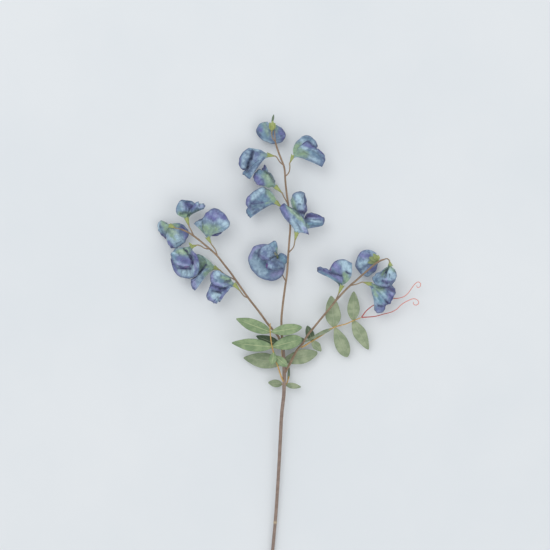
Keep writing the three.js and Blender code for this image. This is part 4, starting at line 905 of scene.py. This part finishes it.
def strokeMask(grid, throat, stroke):
    # how near each point lies, seen from above, to a soft stroke between two places
    start, end, width = np.array(stroke[1:3]), np.array(stroke[3:5]), stroke[5]
    run = end - start
    x, y = grid[..., 0] - throat[0], grid[..., 1] - throat[1]
    seen = np.stack([x + 0.5 * wander(x, y, 0.16), y + 0.5 * wander(x, y, 0.16)], -1)
    along = np.clip(((seen - start) @ run) / max(run @ run, 1e-6), 0, 1)
    away = np.linalg.norm(seen - start - along[..., None] * run, axis=-1)
    return np.exp(-((away / width) ** 2.5))


def petalGrid(bloom, petal):
    look = petalLook
    u = np.linspace(0, 1, look["cellsAcross"] + 1)
    v = np.linspace(look["sunk"], 1, look["cellsAlong"] + 1)[:, None]
    past = np.clip(v, 0, 1)
    base, throat = np.array(bloom["stalk"][-1]), np.array(bloom["throat"])
    lip = smoothCurve(np.array(petal["rim"]) + throat, u)[None]
    ribs = look["ribs"]
    root = base + ribs["root"] * (throat - base)
    neck = base + ribs["neck"] * (throat - base)
    flare = throat + ribs["flare"] * (lip - throat)
    t = (ribs["start"] + (1 - ribs["start"]) * v)[..., None]
    grid = (1 - t) ** 3 * root + 3 * (1 - t) ** 2 * t * neck + 3 * (1 - t) * t ** 2 * flare + t ** 3 * lip
    axis = unit(throat - base)
    spread = lip - throat
    spread = unit(spread - (spread @ axis)[..., None] * axis)
    foot = bloom.get("foot", look["footRadius"])
    grid = grid + foot * np.exp(-(((v + 0.1) / 0.22) ** 2))[..., None] * spread
    grid = grid + np.array(petal["belly"]) * (4 * past * (1 - past) * np.sin(math.pi * u))[..., None]
    outward = unit(np.gradient(grid, axis=0))
    waves = petal.get("waves", 5)
    around = u + 0.03 * wander(u * 2, u * 0, 1)
    scallop = petal.get("scallop", 0.25) * np.sin(math.pi * waves * around) ** 2
    scallop = scallop + 0.3 * wander(u * 9, u * 0, 1)
    grid = grid + outward * (scallop * past ** 10)[..., None]

    normals = surfaceNormals(grid)
    sideFade = np.sin(math.pi * np.clip(u, 0.02, 0.98)) ** 0.5
    ripple = (np.sin(2 * math.pi * waves * (u + 0.12 * wander(u, u * 0, 2)) + 1.5 * v)
              + 0.5 * np.sin(2 * math.pi * (waves * 1.7) * u + 2))
    lift = petal.get("ruffle", 0.6) * past ** 4 * ripple * sideFade
    lift = lift + look["billow"] * wander(u * 1.6, v * 1.3, 1) * np.sin(math.pi * past) * sideFade
    lift = lift + look["crinkle"] * wander(u * 5, v * 3, 1, 9) * past ** 0.5
    lift = lift + look["crumple"] * wander(u * 12, v * 8, 1, 14) * past ** 0.5
    pleats = petal.get("pleats", 0.05) * np.sin(2 * math.pi * 11 * u)
    lift = lift + pleats * np.clip(v * 1.6 - 0.3, 0, 1) * sideFade
    # painted shade: the bloom's creases are laid on every petal that has strokes
    drawn = petal["strokes"] + bloom.get("shadedCreases", []) if "strokes" in petal else []
    strokes = [(stroke, strokeMask(grid, throat, stroke)) for stroke in drawn]
    for stroke, mask in strokes:
        lift = lift + stroke[7] * mask
    grid = grid + normals * lift[..., None]
    grid[..., 2] = np.maximum(grid[..., 2], look["lowest"])
    return grid, np.broadcast_to(u, grid.shape[:2]), np.broadcast_to(v, grid.shape[:2]), strokes


def petalPart(bloom, petal):
    look = petalLook
    grid, u, v, strokes = petalGrid(bloom, petal)
    values = {name: np.zeros(u.shape) for name in look["order"]}
    driftU, driftV = 0.02 * wander(u * 3, v * 3, 1), 0.04 * wander(u * 3, v * 2, 1)
    for name, atU, atV, wideU, wideV, amount in petal.get("stains", []):
        spot = amount * np.exp(-(((u + driftU - atU) / wideU) ** 2) - (((v + driftV - atV) / wideV) ** 2))
        values[name] = 1 - (1 - values[name]) * (1 - spot)
    for stroke, mask in strokes:
        values[stroke[0]] = 1 - (1 - values[stroke[0]]) * (1 - stroke[6] * mask)
    values["petalAcross"] = u
    values["petalAlong"] = v
    values["petalShade"] = np.full(u.shape, dice.uniform(0, 1))
    return closedSheet(grid, look["thickness"], values)


def petalMaterial():
    look, tones, shares = petalLook, petalLook["tones"], petalLook["shares"]
    material, w, finish = newMaterial("petalTissue", look["roughness"], look["sheen"], 0.25)
    across, along = w.measure("petalAcross"), w.measure("petalAlong")
    soft = useGroup(w, mottle, Scale=95.0, Contrast=0.8)
    close = useGroup(w, mottle, Scale=260.0, Contrast=0.65)
    thread = useGroup(w, fibres, Across=across, Along=along, Fineness=34.0, Stretch=0.07)
    uneven = w.minus(soft["Patches"], 0.5)
    colour = w.blend(w.spread(w.plus(w.measure("petalShade"), w.times(uneven, 1.2)), 0.1, 0.9),
                     tones["slate"], tones["ground"])
    for name in look["order"]:
        streaky = w.times(w.minus(thread["Height"], 0.5), 0.9)
        share = w.times(w.measure(name),
                        w.plus(0.95, w.plus(streaky, w.times(uneven, 0.4))), clamp=True)
        colour = w.blend(share, colour, tones[name])
    crease = useGroup(w, creaseLines, Scale=105.0, Width=0.05)
    # painted shade and painted highlight of crumpled cloth: the close patches darken the colour toward a
    # dark blue-grey and lighten it toward the pale tone
    colour = w.blend(w.spread(close["Patches"], 0.5, 1.0, 0, shares["crumpleShade"]), colour, tones["crumpleShade"])
    colour = w.blend(w.spread(close["Patches"], 0.5, 0.0, 0, shares["pale"]), colour, tones["pale"])
    # painted shade along the thin crease lines of the crushed cloth
    colour = w.blend(w.times(crease["Lines"], shares["crease"]), colour, tones["crease"])
    colour = w.blend(w.times(thread["Threads"], shares["thread"]), colour, tones["thread"])
    colour = w.blend(w.times(close["Specks"], shares["speck"]), colour, tones["speck"])
    rim = useGroup(w, rimMask, Nearness=along, Width=0.05, Waver=soft["Patches"])["Rim"]
    colour = w.blend(w.times(rim, shares["rim"]), colour, tones["rim"])
    w.feed(finish.inputs["Base Color"], colour)
    height = w.plus(w.plus(thread["Height"], w.times(close["Patches"], 0.6)),
                     w.times(crease["Height"], 0.8))
    roughen(w, finish, height, 0.5, 0.35)
    return material


calyxLook = {
    "wall": 0.4,
    "outline": [(0, 0.9), (0.15, 1.25), (0.4, 2.0), (0.65, 2.65), (0.9, 3.05)],
    "reach": 0.78,
    "teeth": 5,
    "tooth": 1.1,
    "notch": 0.3,
    "flare": 0.1,
    "tones": {"light": tone(156, 166, 104), "deep": tone(110, 126, 70), "tip": tone(152, 172, 124),
              "foot": tone(140, 124, 78), "sepal": tone(88, 108, 98), "thread": tone(100, 110, 62)},
}


def calyxPart(bloom):
    look = {**calyxLook, **bloom.get("calyx", {})}
    base, throat = np.array(bloom["stalk"][-1]), np.array(bloom["throat"])
    length = np.linalg.norm(throat - base)
    axis = (throat - base) / length
    side = unit(np.cross(axis, (0, 0, 1) if abs(axis[2]) < 0.9 else (1, 0, 0)))
    top = np.cross(axis, side)
    columns, rows = 60, 26
    angle = 2 * math.pi * np.arange(columns) / columns
    point = (0.5 + 0.5 * np.cos(look["teeth"] * angle)) ** 1.3
    uneven = 1 + 0.18 * wander(np.cos(angle), np.sin(angle), 0.5)
    mouth = look["reach"] * length - look["notch"] + (look["tooth"] + look["notch"]) * point * uneven
    s = np.linspace(0, 1, rows)[:, None]
    height = s * mouth
    radius = np.interp(height / length, *zip(*look["outline"])) * look.get("girth", 1)
    radius = radius * (1 + 0.06 * np.cos(look["teeth"] * angle) * s + 0.02 * np.cos(15 * angle)
                       + 0.05 * wander(s * 2, angle * 0.3, 1))
    radius = radius + look["flare"] * s ** 5 * point
    inside = np.maximum(radius - look["wall"], 0.2)
    outer = np.stack([height, radius], -1)
    inner = np.stack([height, inside], -1)[::-1][:-8]
    rings = np.vstack([outer, inner])
    points = (base + rings[..., :1] * axis
              + rings[..., 1:] * (np.cos(angle)[:, None] * side + np.sin(angle)[:, None] * top))
    floor = base + axis * rings[-1, :, 0].mean()
    vertices = np.vstack([points.reshape(-1, 3), [base - 0.3 * axis], [floor]])
    faces = []
    for r in range(len(rings) - 1):
        for c in range(columns):
            a, b = r * columns + c, r * columns + (c + 1) % columns
            faces.append([a, b, b + columns, a + columns])
    foot, end, lastRing = len(vertices) - 2, len(vertices) - 1, (len(rings) - 1) * columns
    for c in range(columns):
        after = (c + 1) % columns
        faces.append([after, c, foot])
        faces.append([lastRing + c, lastRing + after, end])
    share = np.concatenate([(rings[..., 0] / mouth.max()).reshape(-1), [0, 0.3]])
    turn = np.concatenate([np.tile(angle, len(rings)), [0, 0]])
    return vertices, faces, {"share": share, "around": np.sin(turn), "aroundToo": np.cos(turn)}


def calyxParts(bloom):
    parts = [calyxPart(bloom)]
    for sepal in bloom.get("sepals", []):
        vertices, faces, values = leafletPart({"fullness": 0.9, **sepal}, True)
        parts.append((vertices, faces, {"share": 0.5 + 0.5 * values["leafAlong"],
                                        "darkSepal": np.full(len(vertices), float(sepal["dark"]))}))
    return parts


def calyxMaterial():
    tones = calyxLook["tones"]
    material, w, finish = newMaterial("calyxSkin", 0.6, 0.1)
    share = w.measure("share")
    patches = useGroup(w, mottle, Scale=260.0, Contrast=0.5)
    thread = useGroup(w, fibres, Across=w.measure("around"), Along=share, Fineness=12.0, Stretch=0.1)
    colour = w.blend(w.times(patches["Patches"], 0.4), tones["light"], tones["deep"])
    colour = w.blend(w.spread(share, 0.3, 0.0, 0, 0.7), colour, tones["foot"])
    colour = w.blend(w.spread(share, 0.8, 1.0, 0, 0.5), colour, tones["tip"])
    colour = w.blend(w.times(w.measure("darkSepal"), 0.85), colour, tones["sepal"])
    colour = w.blend(w.times(thread["Threads"], 0.15), colour, tones["thread"])
    w.feed(finish.inputs["Base Color"], colour)
    roughen(w, finish, w.plus(thread["Height"], patches["Patches"]), 0.4, 0.3)
    return material


leafLook = {
    "thickness": 0.5,
    "cellsAcross": 28,
    "cellsAlong": 54,
    "narrowest": 0.5,
    "fold": 0.16,
    "midribDepth": 0.35,
    "sideVeins": 7,
    "billow": 0.45,
    "underShadeTone": tone(62, 82, 60),
    "edgeTone": tone(84, 104, 72),
    "footTone": tone(120, 126, 80),
    "fresh": {"light": tone(141, 160, 121), "deep": tone(96, 121, 88), "vein": tone(186, 196, 154)},
    "sage": {"light": tone(154, 165, 136), "deep": tone(108, 125, 97), "vein": tone(158, 167, 143)},
}


def leafletPart(leaflet, sage):
    look = leafLook
    u = np.linspace(-1, 1, look["cellsAcross"] + 1)
    v = np.linspace(0, 1, look["cellsAlong"] + 1)[:, None]
    start, tip = np.array(leaflet["base"]), np.array(leaflet["tip"])
    axis = unit(tip - start)
    side = unit(np.cross((0, 0, 1), axis))
    roll = math.radians(leaflet["roll"])
    side = side * math.cos(roll) + np.cross(axis, side) * math.sin(roll)
    upward = np.cross(axis, side)
    widest = leaflet["width"] / 2 - 0.6
    bulge = np.sin(math.pi * v ** leaflet.get("peak", 0.85)) ** leaflet.get("fullness", 0.8)
    halfWidth = look["narrowest"] + widest * bulge
    waver = leaflet.get("waver", 0.02) * leaflet["width"] * wander(v * 2, v * 0, 1)
    halfWidth = halfWidth + waver * np.sin(math.pi * v)
    middle = start + v[..., None] * (tip - start)
    grid = middle + side * (-u * halfWidth)[..., None]
    grid = grid + upward * (look["fold"] * np.abs(u) ** 1.3 * halfWidth)[..., None]
    grid[..., 2] += leaflet["lift"] * np.sin(math.pi * v)
    crease = -look["midribDepth"] * np.exp(-((u * halfWidth / 0.7) ** 2)) * (1 - v)
    aside = np.abs(u)
    veins = 0.12 * np.cos(2 * math.pi * (look["sideVeins"] * v - 1.6 * aside)) * aside * (1 - aside ** 3)
    billow = look["billow"] * wander(u * 0.5, v * 1.2, 1.4) * np.abs(u) ** 2
    endFade = np.sin(math.pi * np.clip(v, 0.01, 0.99)) ** 0.3
    grid = grid + upward * ((crease + veins + billow) * endFade)[..., None]
    u, v = np.broadcast_to(u, grid.shape[:2]), np.broadcast_to(v, grid.shape[:2])
    values = {"leafAcross": u, "leafAlong": v, "sage": np.full(u.shape, float(sage)),
              "halfWidth": np.broadcast_to(halfWidth, u.shape),
              "leafShade": np.full(u.shape, leaflet.get("shade", dice.uniform(0, 0.8)))}
    return closedSheet(grid, look["thickness"], values)


def leafVeinsGroup():
    # a midrib and pairs of side veins that slant towards the tip
    group, w, given, out = newGroup(
        "leafVeins",
        [("Across", "Float", 0), ("Along", "Float", 0), ("Half Width", "Float", 8), ("Pairs", "Float", 7)],
        [("Midrib", "Float"), ("Side Veins", "Float"), ("Height", "Float")])
    aside = w.maths("ABSOLUTE", given["Across"])
    fromMiddle = w.times(aside, given["Half Width"])
    reach = w.maths("MULTIPLY_ADD", given["Along"], -0.35)
    reach.node.inputs[2].default_value = 0.8
    midrib = w.times(w.spread(fromMiddle, reach, 0.0), w.spread(given["Along"], 1.0, 0.6))
    slant = w.minus(w.times(given["Along"], given["Pairs"]), w.times(aside, 1.6))
    wave = w.maths("ABSOLUTE", w.minus(w.maths("FRACT", slant), 0.5))
    side = w.times(w.spread(wave, 0.1, 0.0), w.spread(aside, 1.0, 0.7))
    w.feed(out["Midrib"], midrib)
    w.feed(out["Side Veins"], side)
    w.feed(out["Height"], w.minus(0.0, w.plus(midrib, w.times(side, 0.5))))
    return group


leafVeins = leafVeinsGroup()


def leafMaterial():
    look = leafLook
    material, w, finish = newMaterial("leafBlade", 0.62, 0.15)
    across, along, sage = w.measure("leafAcross"), w.measure("leafAlong"), w.measure("sage")
    patches = useGroup(w, mottle, Scale=130.0, Contrast=0.7)
    grain = useGroup(w, fibres, Across=across, Along=along, Fineness=16.0, Stretch=0.3)
    veins = useGroup(w, leafVeins, Across=across, Along=along, Half_Width=w.measure("halfWidth"),
                     Pairs=float(look["sideVeins"]))
    light = w.blend(sage, look["fresh"]["light"], look["sage"]["light"])
    deep = w.blend(sage, look["fresh"]["deep"], look["sage"]["deep"])
    vein = w.blend(sage, look["fresh"]["vein"], look["sage"]["vein"])
    uneven = w.plus(w.times(patches["Patches"], 0.6), w.times(w.measure("leafShade"), 0.4))
    colour = w.blend(uneven, light, deep)
    # painted shade: leaflets given a shade above 0.8 lie low under other leaves and darken toward a dark
    # green
    colour = w.blend(w.spread(w.measure("leafShade"), 0.8, 1.5, 0, 1.0), colour, look["underShadeTone"])
    colour = w.blend(w.times(grain["Threads"], 0.2), colour, deep)
    colour = w.blend(w.times(veins["Side Veins"], 0.14), colour, vein)
    colour = w.blend(w.times(veins["Midrib"], 0.75), colour, vein)
    colour = w.blend(w.spread(w.maths("ABSOLUTE", across), 0.92, 1.0, 0, 0.35), colour, look["edgeTone"])
    colour = w.blend(w.spread(along, 0.12, 0.0, 0, 0.5), colour, look["footTone"])
    w.feed(finish.inputs["Base Color"], colour)
    roughen(w, finish, w.plus(veins["Height"], w.times(grain["Height"], 0.5)), 0.5, 0.3)
    return material


stemLook = {
    "radius": [(0, 1.95), (0.29, 2.0), (0.6, 2.2), (0.85, 2.35), (1, 1.7)],
    "ring": (0.291, 0.004, 0.35),
    "tones": {"light": tone(150, 133, 122), "deep": tone(108, 92, 84), "ring": tone(188, 172, 142),
              "cut": tone(206, 200, 172)},
}

branchLook = {
    "radius": 1.35,
    "stalkRadius": 0.78,
    "tones": {"light": tone(158, 136, 113), "deep": tone(104, 85, 69), "fresh": tone(160, 156, 104)},
}

mainStemRoute = [
    (-30.5, -328, 2.5), (-24.5, -259, 4), (-20, -214, 5.2), (-17, -180, 6.4), (-13.5, -128, 8.6),
    (-11, -82.5, 11), (-9, -45, 13.4), (-6.5, -21.5, 15), (-6, -5, 16), (-6, 16, 17.5), (-7, 34.2, 18.6),
]

branches = {
    "top": {
        "route": [
            (-7, 34.8, 18.6), (-9, 53.5, 19.6), (-9.5, 72, 20.4), (-8.5, 85, 21), (-5.5, 109.5, 22),
            (-2.5, 131, 22.8), (-1, 153.5, 23.2), (0.5, 173.5, 23.6), (1.5, 188.5, 23.8), (0, 207, 24),
            (-2.5, 226, 24.2), (-4.5, 243.5, 24.4), (-6, 262, 24.6), (-10, 273, 24.8), (-13.5, 282, 25),
            (-17, 293, 25.2),
        ],
        "spur": [(-16.5, 291, 25.2), (-17.5, 299.5, 26.2), (-18, 308, 27.6)],
    },
    "left": {
        "route": [
            (-7, 37, 18.6), (-14, 52, 20), (-26, 66.5, 21), (-37.5, 82.5, 21.8), (-50.5, 99, 22.4),
            (-62.5, 116, 23), (-72.5, 130.5, 23.4), (-82, 142.5, 23.8), (-89.5, 152, 24.2),
            (-98, 160, 24.6), (-107, 167.5, 25), (-119, 177, 26), (-128, 182.5, 26.5), (-134, 185, 27),
        ],
    },
    "right": {
        "route": [
            (-5.5, 5, 17.5), (2.5, 20, 19), (10, 34.5, 20), (16.5, 42, 20.6), (23.5, 53.5, 21.2),
            (30, 61.5, 21.8), (38.5, 72, 22.4), (49, 84.5, 23), (59, 97, 23.6), (67.5, 106.5, 24.2),
            (76, 115, 24.8), (83, 121, 25.4), (92.5, 129.5, 26.4), (99.5, 135.5, 27.4), (107, 142, 28.4),
            (113.5, 146, 29), (118, 147.6, 29.4),
        ],
    },
}


barkSpeck = tone(190, 180, 168)


def stemMaterial(name, tones):
    material, w, finish = newMaterial(name, 0.72, 0.1)
    along, around = w.measure("along"), w.measure("around")
    grain = useGroup(w, fibres, Across=w.plus(around, w.times(w.measure("aroundToo"), 1.7)),
                     Along=along, Fineness=7.0, Stretch=0.008)
    patches = useGroup(w, mottle, Scale=180.0, Contrast=0.6)
    colour = w.blend(w.plus(w.times(grain["Threads"], 0.65),
                             w.times(patches["Patches"], 0.35)), tones["light"], tones["deep"])
    if "ring" in tones:
        colour = w.blend(w.times(w.measure("jointRing"), 0.9), colour, tones["ring"])
        colour = w.blend(w.spread(w.measure("endCut"), 0.0, 1.0), colour, tones["cut"])
    if "start" in tones:
        colour = w.blend(w.spread(w.measure("share"), 0.5, 0.1), colour, tones["start"])
    if "fresh" in tones:
        colour = w.blend(w.times(w.measure("freshness"), 0.6), colour, tones["fresh"])
    colour = w.blend(w.times(patches["Specks"], 0.2), colour, barkSpeck)
    w.feed(finish.inputs["Base Color"], colour)
    roughen(w, finish, grain["Height"], 0.6, 0.35)
    return material


def mainStem():
    vertices, faces, values = tube(mainStemRoute, stemLook["radius"], sides=32, steps=260, ridges=9,
                                   ridgeDepth=0.07, lumps=0.02, swellings=[stemLook["ring"]])
    at, width, _ = stemLook["ring"]
    values["jointRing"] = np.exp(-(((values["share"] - at) / (width * 0.9)) ** 2))
    return [(vertices, faces, values)]


def branchParts(name):
    look = branchLook
    branch = branches[name]
    size, thin = look["radius"], look["stalkRadius"]
    parts = [tube(branch["route"], [(0, size * 1.25), (0.15, size), (1, size * 0.8)], sides=16, steps=240,
                  ridges=5, ridgeDepth=0.05, lumps=0.04)]
    if "spur" in branch:
        parts.append(tube(branch["spur"], [(0, thin), (1, thin * 0.7)], sides=12, steps=30))
    for bloom in blooms:
        if bloom["name"].startswith(name):
            stalk = bloom["stalk"]
            end = np.array(stalk[-1])
            route = list(stalk)
            if np.linalg.norm(end - np.array(stalk[-2])) > 4:  # a long stalk meets its calyx straight
                route.insert(-1, tuple(end - 1.8 * unit(np.array(bloom["throat"]) - end)))
            radius = [(0, thin * 1.15), (0.3, thin * 0.9), (1, thin * 1.1)]
            vertices, faces, values = tube(route, radius, sides=12, steps=50, lumps=0.04)
            values["freshness"] = values["share"] ** 2
            parts.append((vertices, faces, values))
    return parts


rachisLook = {
    "radius": [(0, 0.95), (1, 0.6)],
    "tones": {"light": tone(206, 172, 100), "deep": tone(168, 128, 70)},
}
tendrilLook = {
    "radius": [(0, 0.7), (0.2, 0.52), (0.9, 0.42), (1, 0.36)],
    "tones": {"light": tone(224, 146, 130), "deep": tone(200, 110, 98), "start": tone(168, 66, 62)},
}

# A leaflet's shade above 0.8 paints shade on a leaflet that lies under others; below that it only varies
# the tone.
leafSprays = [
    {
        "name": "leaf_spray_front",
        "rachis": [
            (-6.5, -6, 16.5), (-9, -0.5, 20), (-14, 14.5, 25), (-17.5, 26, 28.5), (-21, 38.5, 31),
            (-23.5, 57, 33), (-23.5, 68.5, 34),
        ],
        "leaflets": [
            {"base": (-23, 57.5, 33), "tip": (-65.5, 74, 34),
             "width": 16, "lift": 4, "roll": 12, "shade": 0.3},
            {"base": (-23, 57.5, 33), "tip": (16, 63.5, 34),
             "width": 14, "lift": 4, "roll": -10, "peak": 1.15, "fullness": 0.7, "shade": 0.1},
            {"base": (-21, 39, 31), "tip": (-71, 44, 31), "width": 16, "lift": 4, "roll": 8},
            {"base": (-21, 39, 31), "tip": (16, 49, 33),
             "width": 18, "lift": 4, "roll": -12, "peak": 1.3, "fullness": 0.6, "shade": 0.2},
            {"base": (-19, 33, 29.5), "tip": (-21, 17, 33),
             "width": 10, "lift": 2, "roll": 10, "peak": 1.2, "shade": 0.2},
            {"base": (-18, 28, 28.6), "tip": (-2, 15, 31),
             "width": 11, "lift": 3, "roll": 10, "peak": 1.1, "shade": 0.2},
        ],
    },
    {
        "name": "leaf_spray_back",
        "rachis": [(-6.5, -3, 15.5), (-7, 4, 12.5), (-8, 20, 12), (-9, 34, 12.5), (-10, 44, 13)],
        "leaflets": [
            {"base": (-8, 18.5, 12), "tip": (-57, 24, 9), "width": 20, "lift": 3, "roll": -8},
            {"base": (-8, 20.5, 12), "tip": (36, 30.5, 9),
             "width": 18, "lift": 3, "roll": 8, "peak": 1.05, "fullness": 0.65, "shade": 0},
            {"base": (-9.5, 39, 12.5), "tip": (-41, 51.5, 9),
             "width": 13, "lift": 2, "roll": 6, "shade": 1.4},
            {"base": (-9.5, 39.5, 12.5), "tip": (19, 48, 10),
             "width": 15, "lift": 2, "roll": -6, "shade": 1.1},
        ],
    },
    {
        "name": "leaf_spray_right",
        "rachis": [
            (15.5, 37.5, 18.2), (18.5, 39, 17.2), (29, 45.5, 15.5), (41, 52.5, 14.5), (56.5, 62.5, 14),
            (72, 67, 13.6), (81, 71, 13.4), (90.2, 74.7, 13.4),
        ],
        "leaflets": [
            {"base": (56.5, 62.5, 14), "tip": (53, 102, 12), "width": 20, "lift": 3, "roll": 6},
            {"base": (57.5, 63, 14), "tip": (73.5, 25, 10),
             "width": 18.5, "lift": 3, "roll": 8, "peak": 1.3, "fullness": 0.7, "shade": 0.2},
            {"base": (55, 61.5, 14), "tip": (20, 44.5, 18), "width": 9, "lift": 1, "roll": 60},
            {"base": (80.5, 71, 13.4), "tip": (81.5, 107.5, 11), "width": 15.5, "lift": 3, "roll": -6},
            {"base": (80.5, 71, 13.4), "tip": (100, 34.5, 9), "width": 16, "lift": 4, "roll": 10},
            {"base": (29, 45.5, 15.5), "tip": (23, 64.5, 12),
             "width": 11, "lift": 1, "roll": 0, "shade": 1.3},
            {"base": (29, 45.5, 15.5), "tip": (40.5, 32.5, 12), "width": 10, "lift": 1, "roll": 0},
        ],
    },
    {
        "name": "leaf_spray_low",
        "rachis": [(-9, -9, 10.8), (-4, -9.5, 10.6), (-1.5, -4.5, 11), (0, 1, 11.5)],
        "leaflets": [
            {"base": (-8.5, -9, 10.8), "tip": (-26, -7, 9), "width": 10, "lift": 1, "roll": 6},
            {"base": (-4, -9.5, 10.6), "tip": (15, -12.5, 12), "width": 7.5, "lift": 2, "roll": -10},
            {"base": (-1.5, -5, 11), "tip": (0.5, 12, 9),
             "width": 4, "lift": 1, "roll": 40, "shade": 1.3},
        ],
    },
]

tendrils = [
    [
        (91, 75, 13.4), (97, 83, 13), (106, 90, 11.6), (117.5, 95, 10.2), (130, 98.5, 10.8),
        (137, 99, 12), (144, 101, 13), (149, 105, 14), (154.5, 112.5, 15), (158.5, 117.5, 15.6),
        (162, 119.5, 16), (165, 117, 16.2), (164, 113.5, 16.2), (161, 112.5, 16), (160, 115, 15.8),
    ],
    [
        (91, 75, 13.4), (99.5, 75.5, 13.6), (109, 76.5, 14), (118, 79, 14.4), (129, 82, 15),
        (134.5, 85, 15.4), (141.5, 91.5, 16), (149, 96, 16.6), (156.5, 98.5, 17), (161, 96.5, 17.2),
        (162.5, 93, 17.2), (159, 90.5, 17), (156, 92, 16.8), (156, 94.5, 16.6),
    ],
]


def build():
    petalTissue, calyxSkin, leafBlade = petalMaterial(), calyxMaterial(), leafMaterial()
    stemBark = stemMaterial("stemBark", stemLook["tones"])
    branchBark = stemMaterial("branchBark", branchLook["tones"])
    rachisBark = stemMaterial("rachisBark", rachisLook["tones"])
    tendrilBark = stemMaterial("tendrilSkin", tendrilLook["tones"])
    print("materials made")

    makePiece("mainStem", mainStem(), stemBark, "stem", "main_stem")
    for name in branches:
        makePiece(name + "Branch", branchParts(name), branchBark, "branch", name + "_branch")
    print("stems made")

    for bloom in blooms:
        petals = [petalPart(bloom, petal) for petal in bloom["petals"]]
        makePiece(bloom["name"] + "Petals", petals, petalTissue, "petal", bloom["name"] + "_petals")
        makePiece(bloom["name"] + "Calyx", calyxParts(bloom), calyxSkin, "calyx", bloom["name"] + "_calyx")
    print("blooms made:", len(blooms))

    for spray in leafSprays:
        sage = spray["name"] != "leaf_spray_front"
        blades = [leafletPart(leaflet, sage) for leaflet in spray["leaflets"]]
        makePiece(spray["name"] + "Blades", blades, leafBlade, "leaf", spray["name"])
        rachis = tube(spray["rachis"], rachisLook["radius"], sides=12, steps=80, lumps=0.05)
        makePiece(spray["name"] + "Rachis", [rachis], rachisBark, "leaf", spray["name"])
    curls = [tube(route, tendrilLook["radius"], sides=12, steps=160, lumps=0.05) for route in tendrils]
    makePiece("tendrilCurls", curls, tendrilBark, "tendril", "tendrils")
    print("leaves and tendrils made")


studio = {
    "tableSize": 6.0,
    "tableLevel": -0.2,
    "tableTone": tone(214, 218, 221),
    "cloudTone": tone(198, 206, 212),
    "roomColour": (0.985, 0.99, 1, 1),
    "worldStrength": 0.84,
    "aim": (0, 0.1, 0),
    "key": {"place": (-1.1, 1.5, 3.3), "size": 2.2, "energy": 36.0},
    "fill": {"place": (1.6, -0.9, 3.0), "size": 2.4, "energy": 18.0},
    "cameraOver": (-17.5, 128.2, 1643.0),
    "lens": 85,
    "sensor": 36,
}


def softLamp(name, place, size, energy):
    lamp = bpy.data.lights.new(name, "AREA")
    lamp.shape = "SQUARE"
    lamp.size = size
    lamp.energy = energy
    holder = bpy.data.objects.new(name, lamp)
    bpy.context.scene.collection.objects.link(holder)
    direction = unit(np.array(place) - np.array(studio["aim"]))
    holder.location = place
    holder.rotation_euler = (math.acos(direction[2]), 0, math.atan2(direction[0], -direction[1]))


def lightTable():
    half = studio["tableSize"] / 2
    mesh = bpy.data.meshes.new("paleTable")
    corners = [(-half, -half), (half, -half), (half, half), (-half, half)]
    mesh.from_pydata([(x, y, studio["tableLevel"] * mm) for x, y in corners], [], [[0, 1, 2, 3]])
    material, w, finish = newMaterial("paleTable", 0.85)
    clouds = useGroup(w, mottle, Scale=3.0, Contrast=0.4)
    colour = w.blend(w.times(clouds["Patches"], 0.3), studio["tableTone"], studio["cloudTone"])
    w.feed(finish.inputs["Base Color"], colour)
    mesh.materials.append(material)
    table = bpy.data.objects.new("paleTable", mesh)
    bpy.context.scene.collection.objects.link(table)

    world = bpy.data.worlds.new("softRoom")
    world.use_nodes = True
    room = world.node_tree.nodes["Background"].inputs
    room["Color"].default_value = studio["roomColour"]
    room["Strength"].default_value = studio["worldStrength"]
    bpy.context.scene.world = world
    softLamp("keyLamp", **studio["key"])
    softLamp("fillLamp", **studio["fill"])

    camera = bpy.data.cameras.new("overheadCamera")
    camera.lens = studio["lens"]
    camera.sensor_width = studio["sensor"]
    holder = bpy.data.objects.new("overheadCamera", camera)
    bpy.context.scene.collection.objects.link(holder)
    holder.location = tuple(c * mm for c in studio["cameraOver"])
    bpy.context.scene.camera = holder
    bpy.context.scene.view_settings.view_transform = "Standard"
    print("table, lamps and camera set")


build()
lightTable()
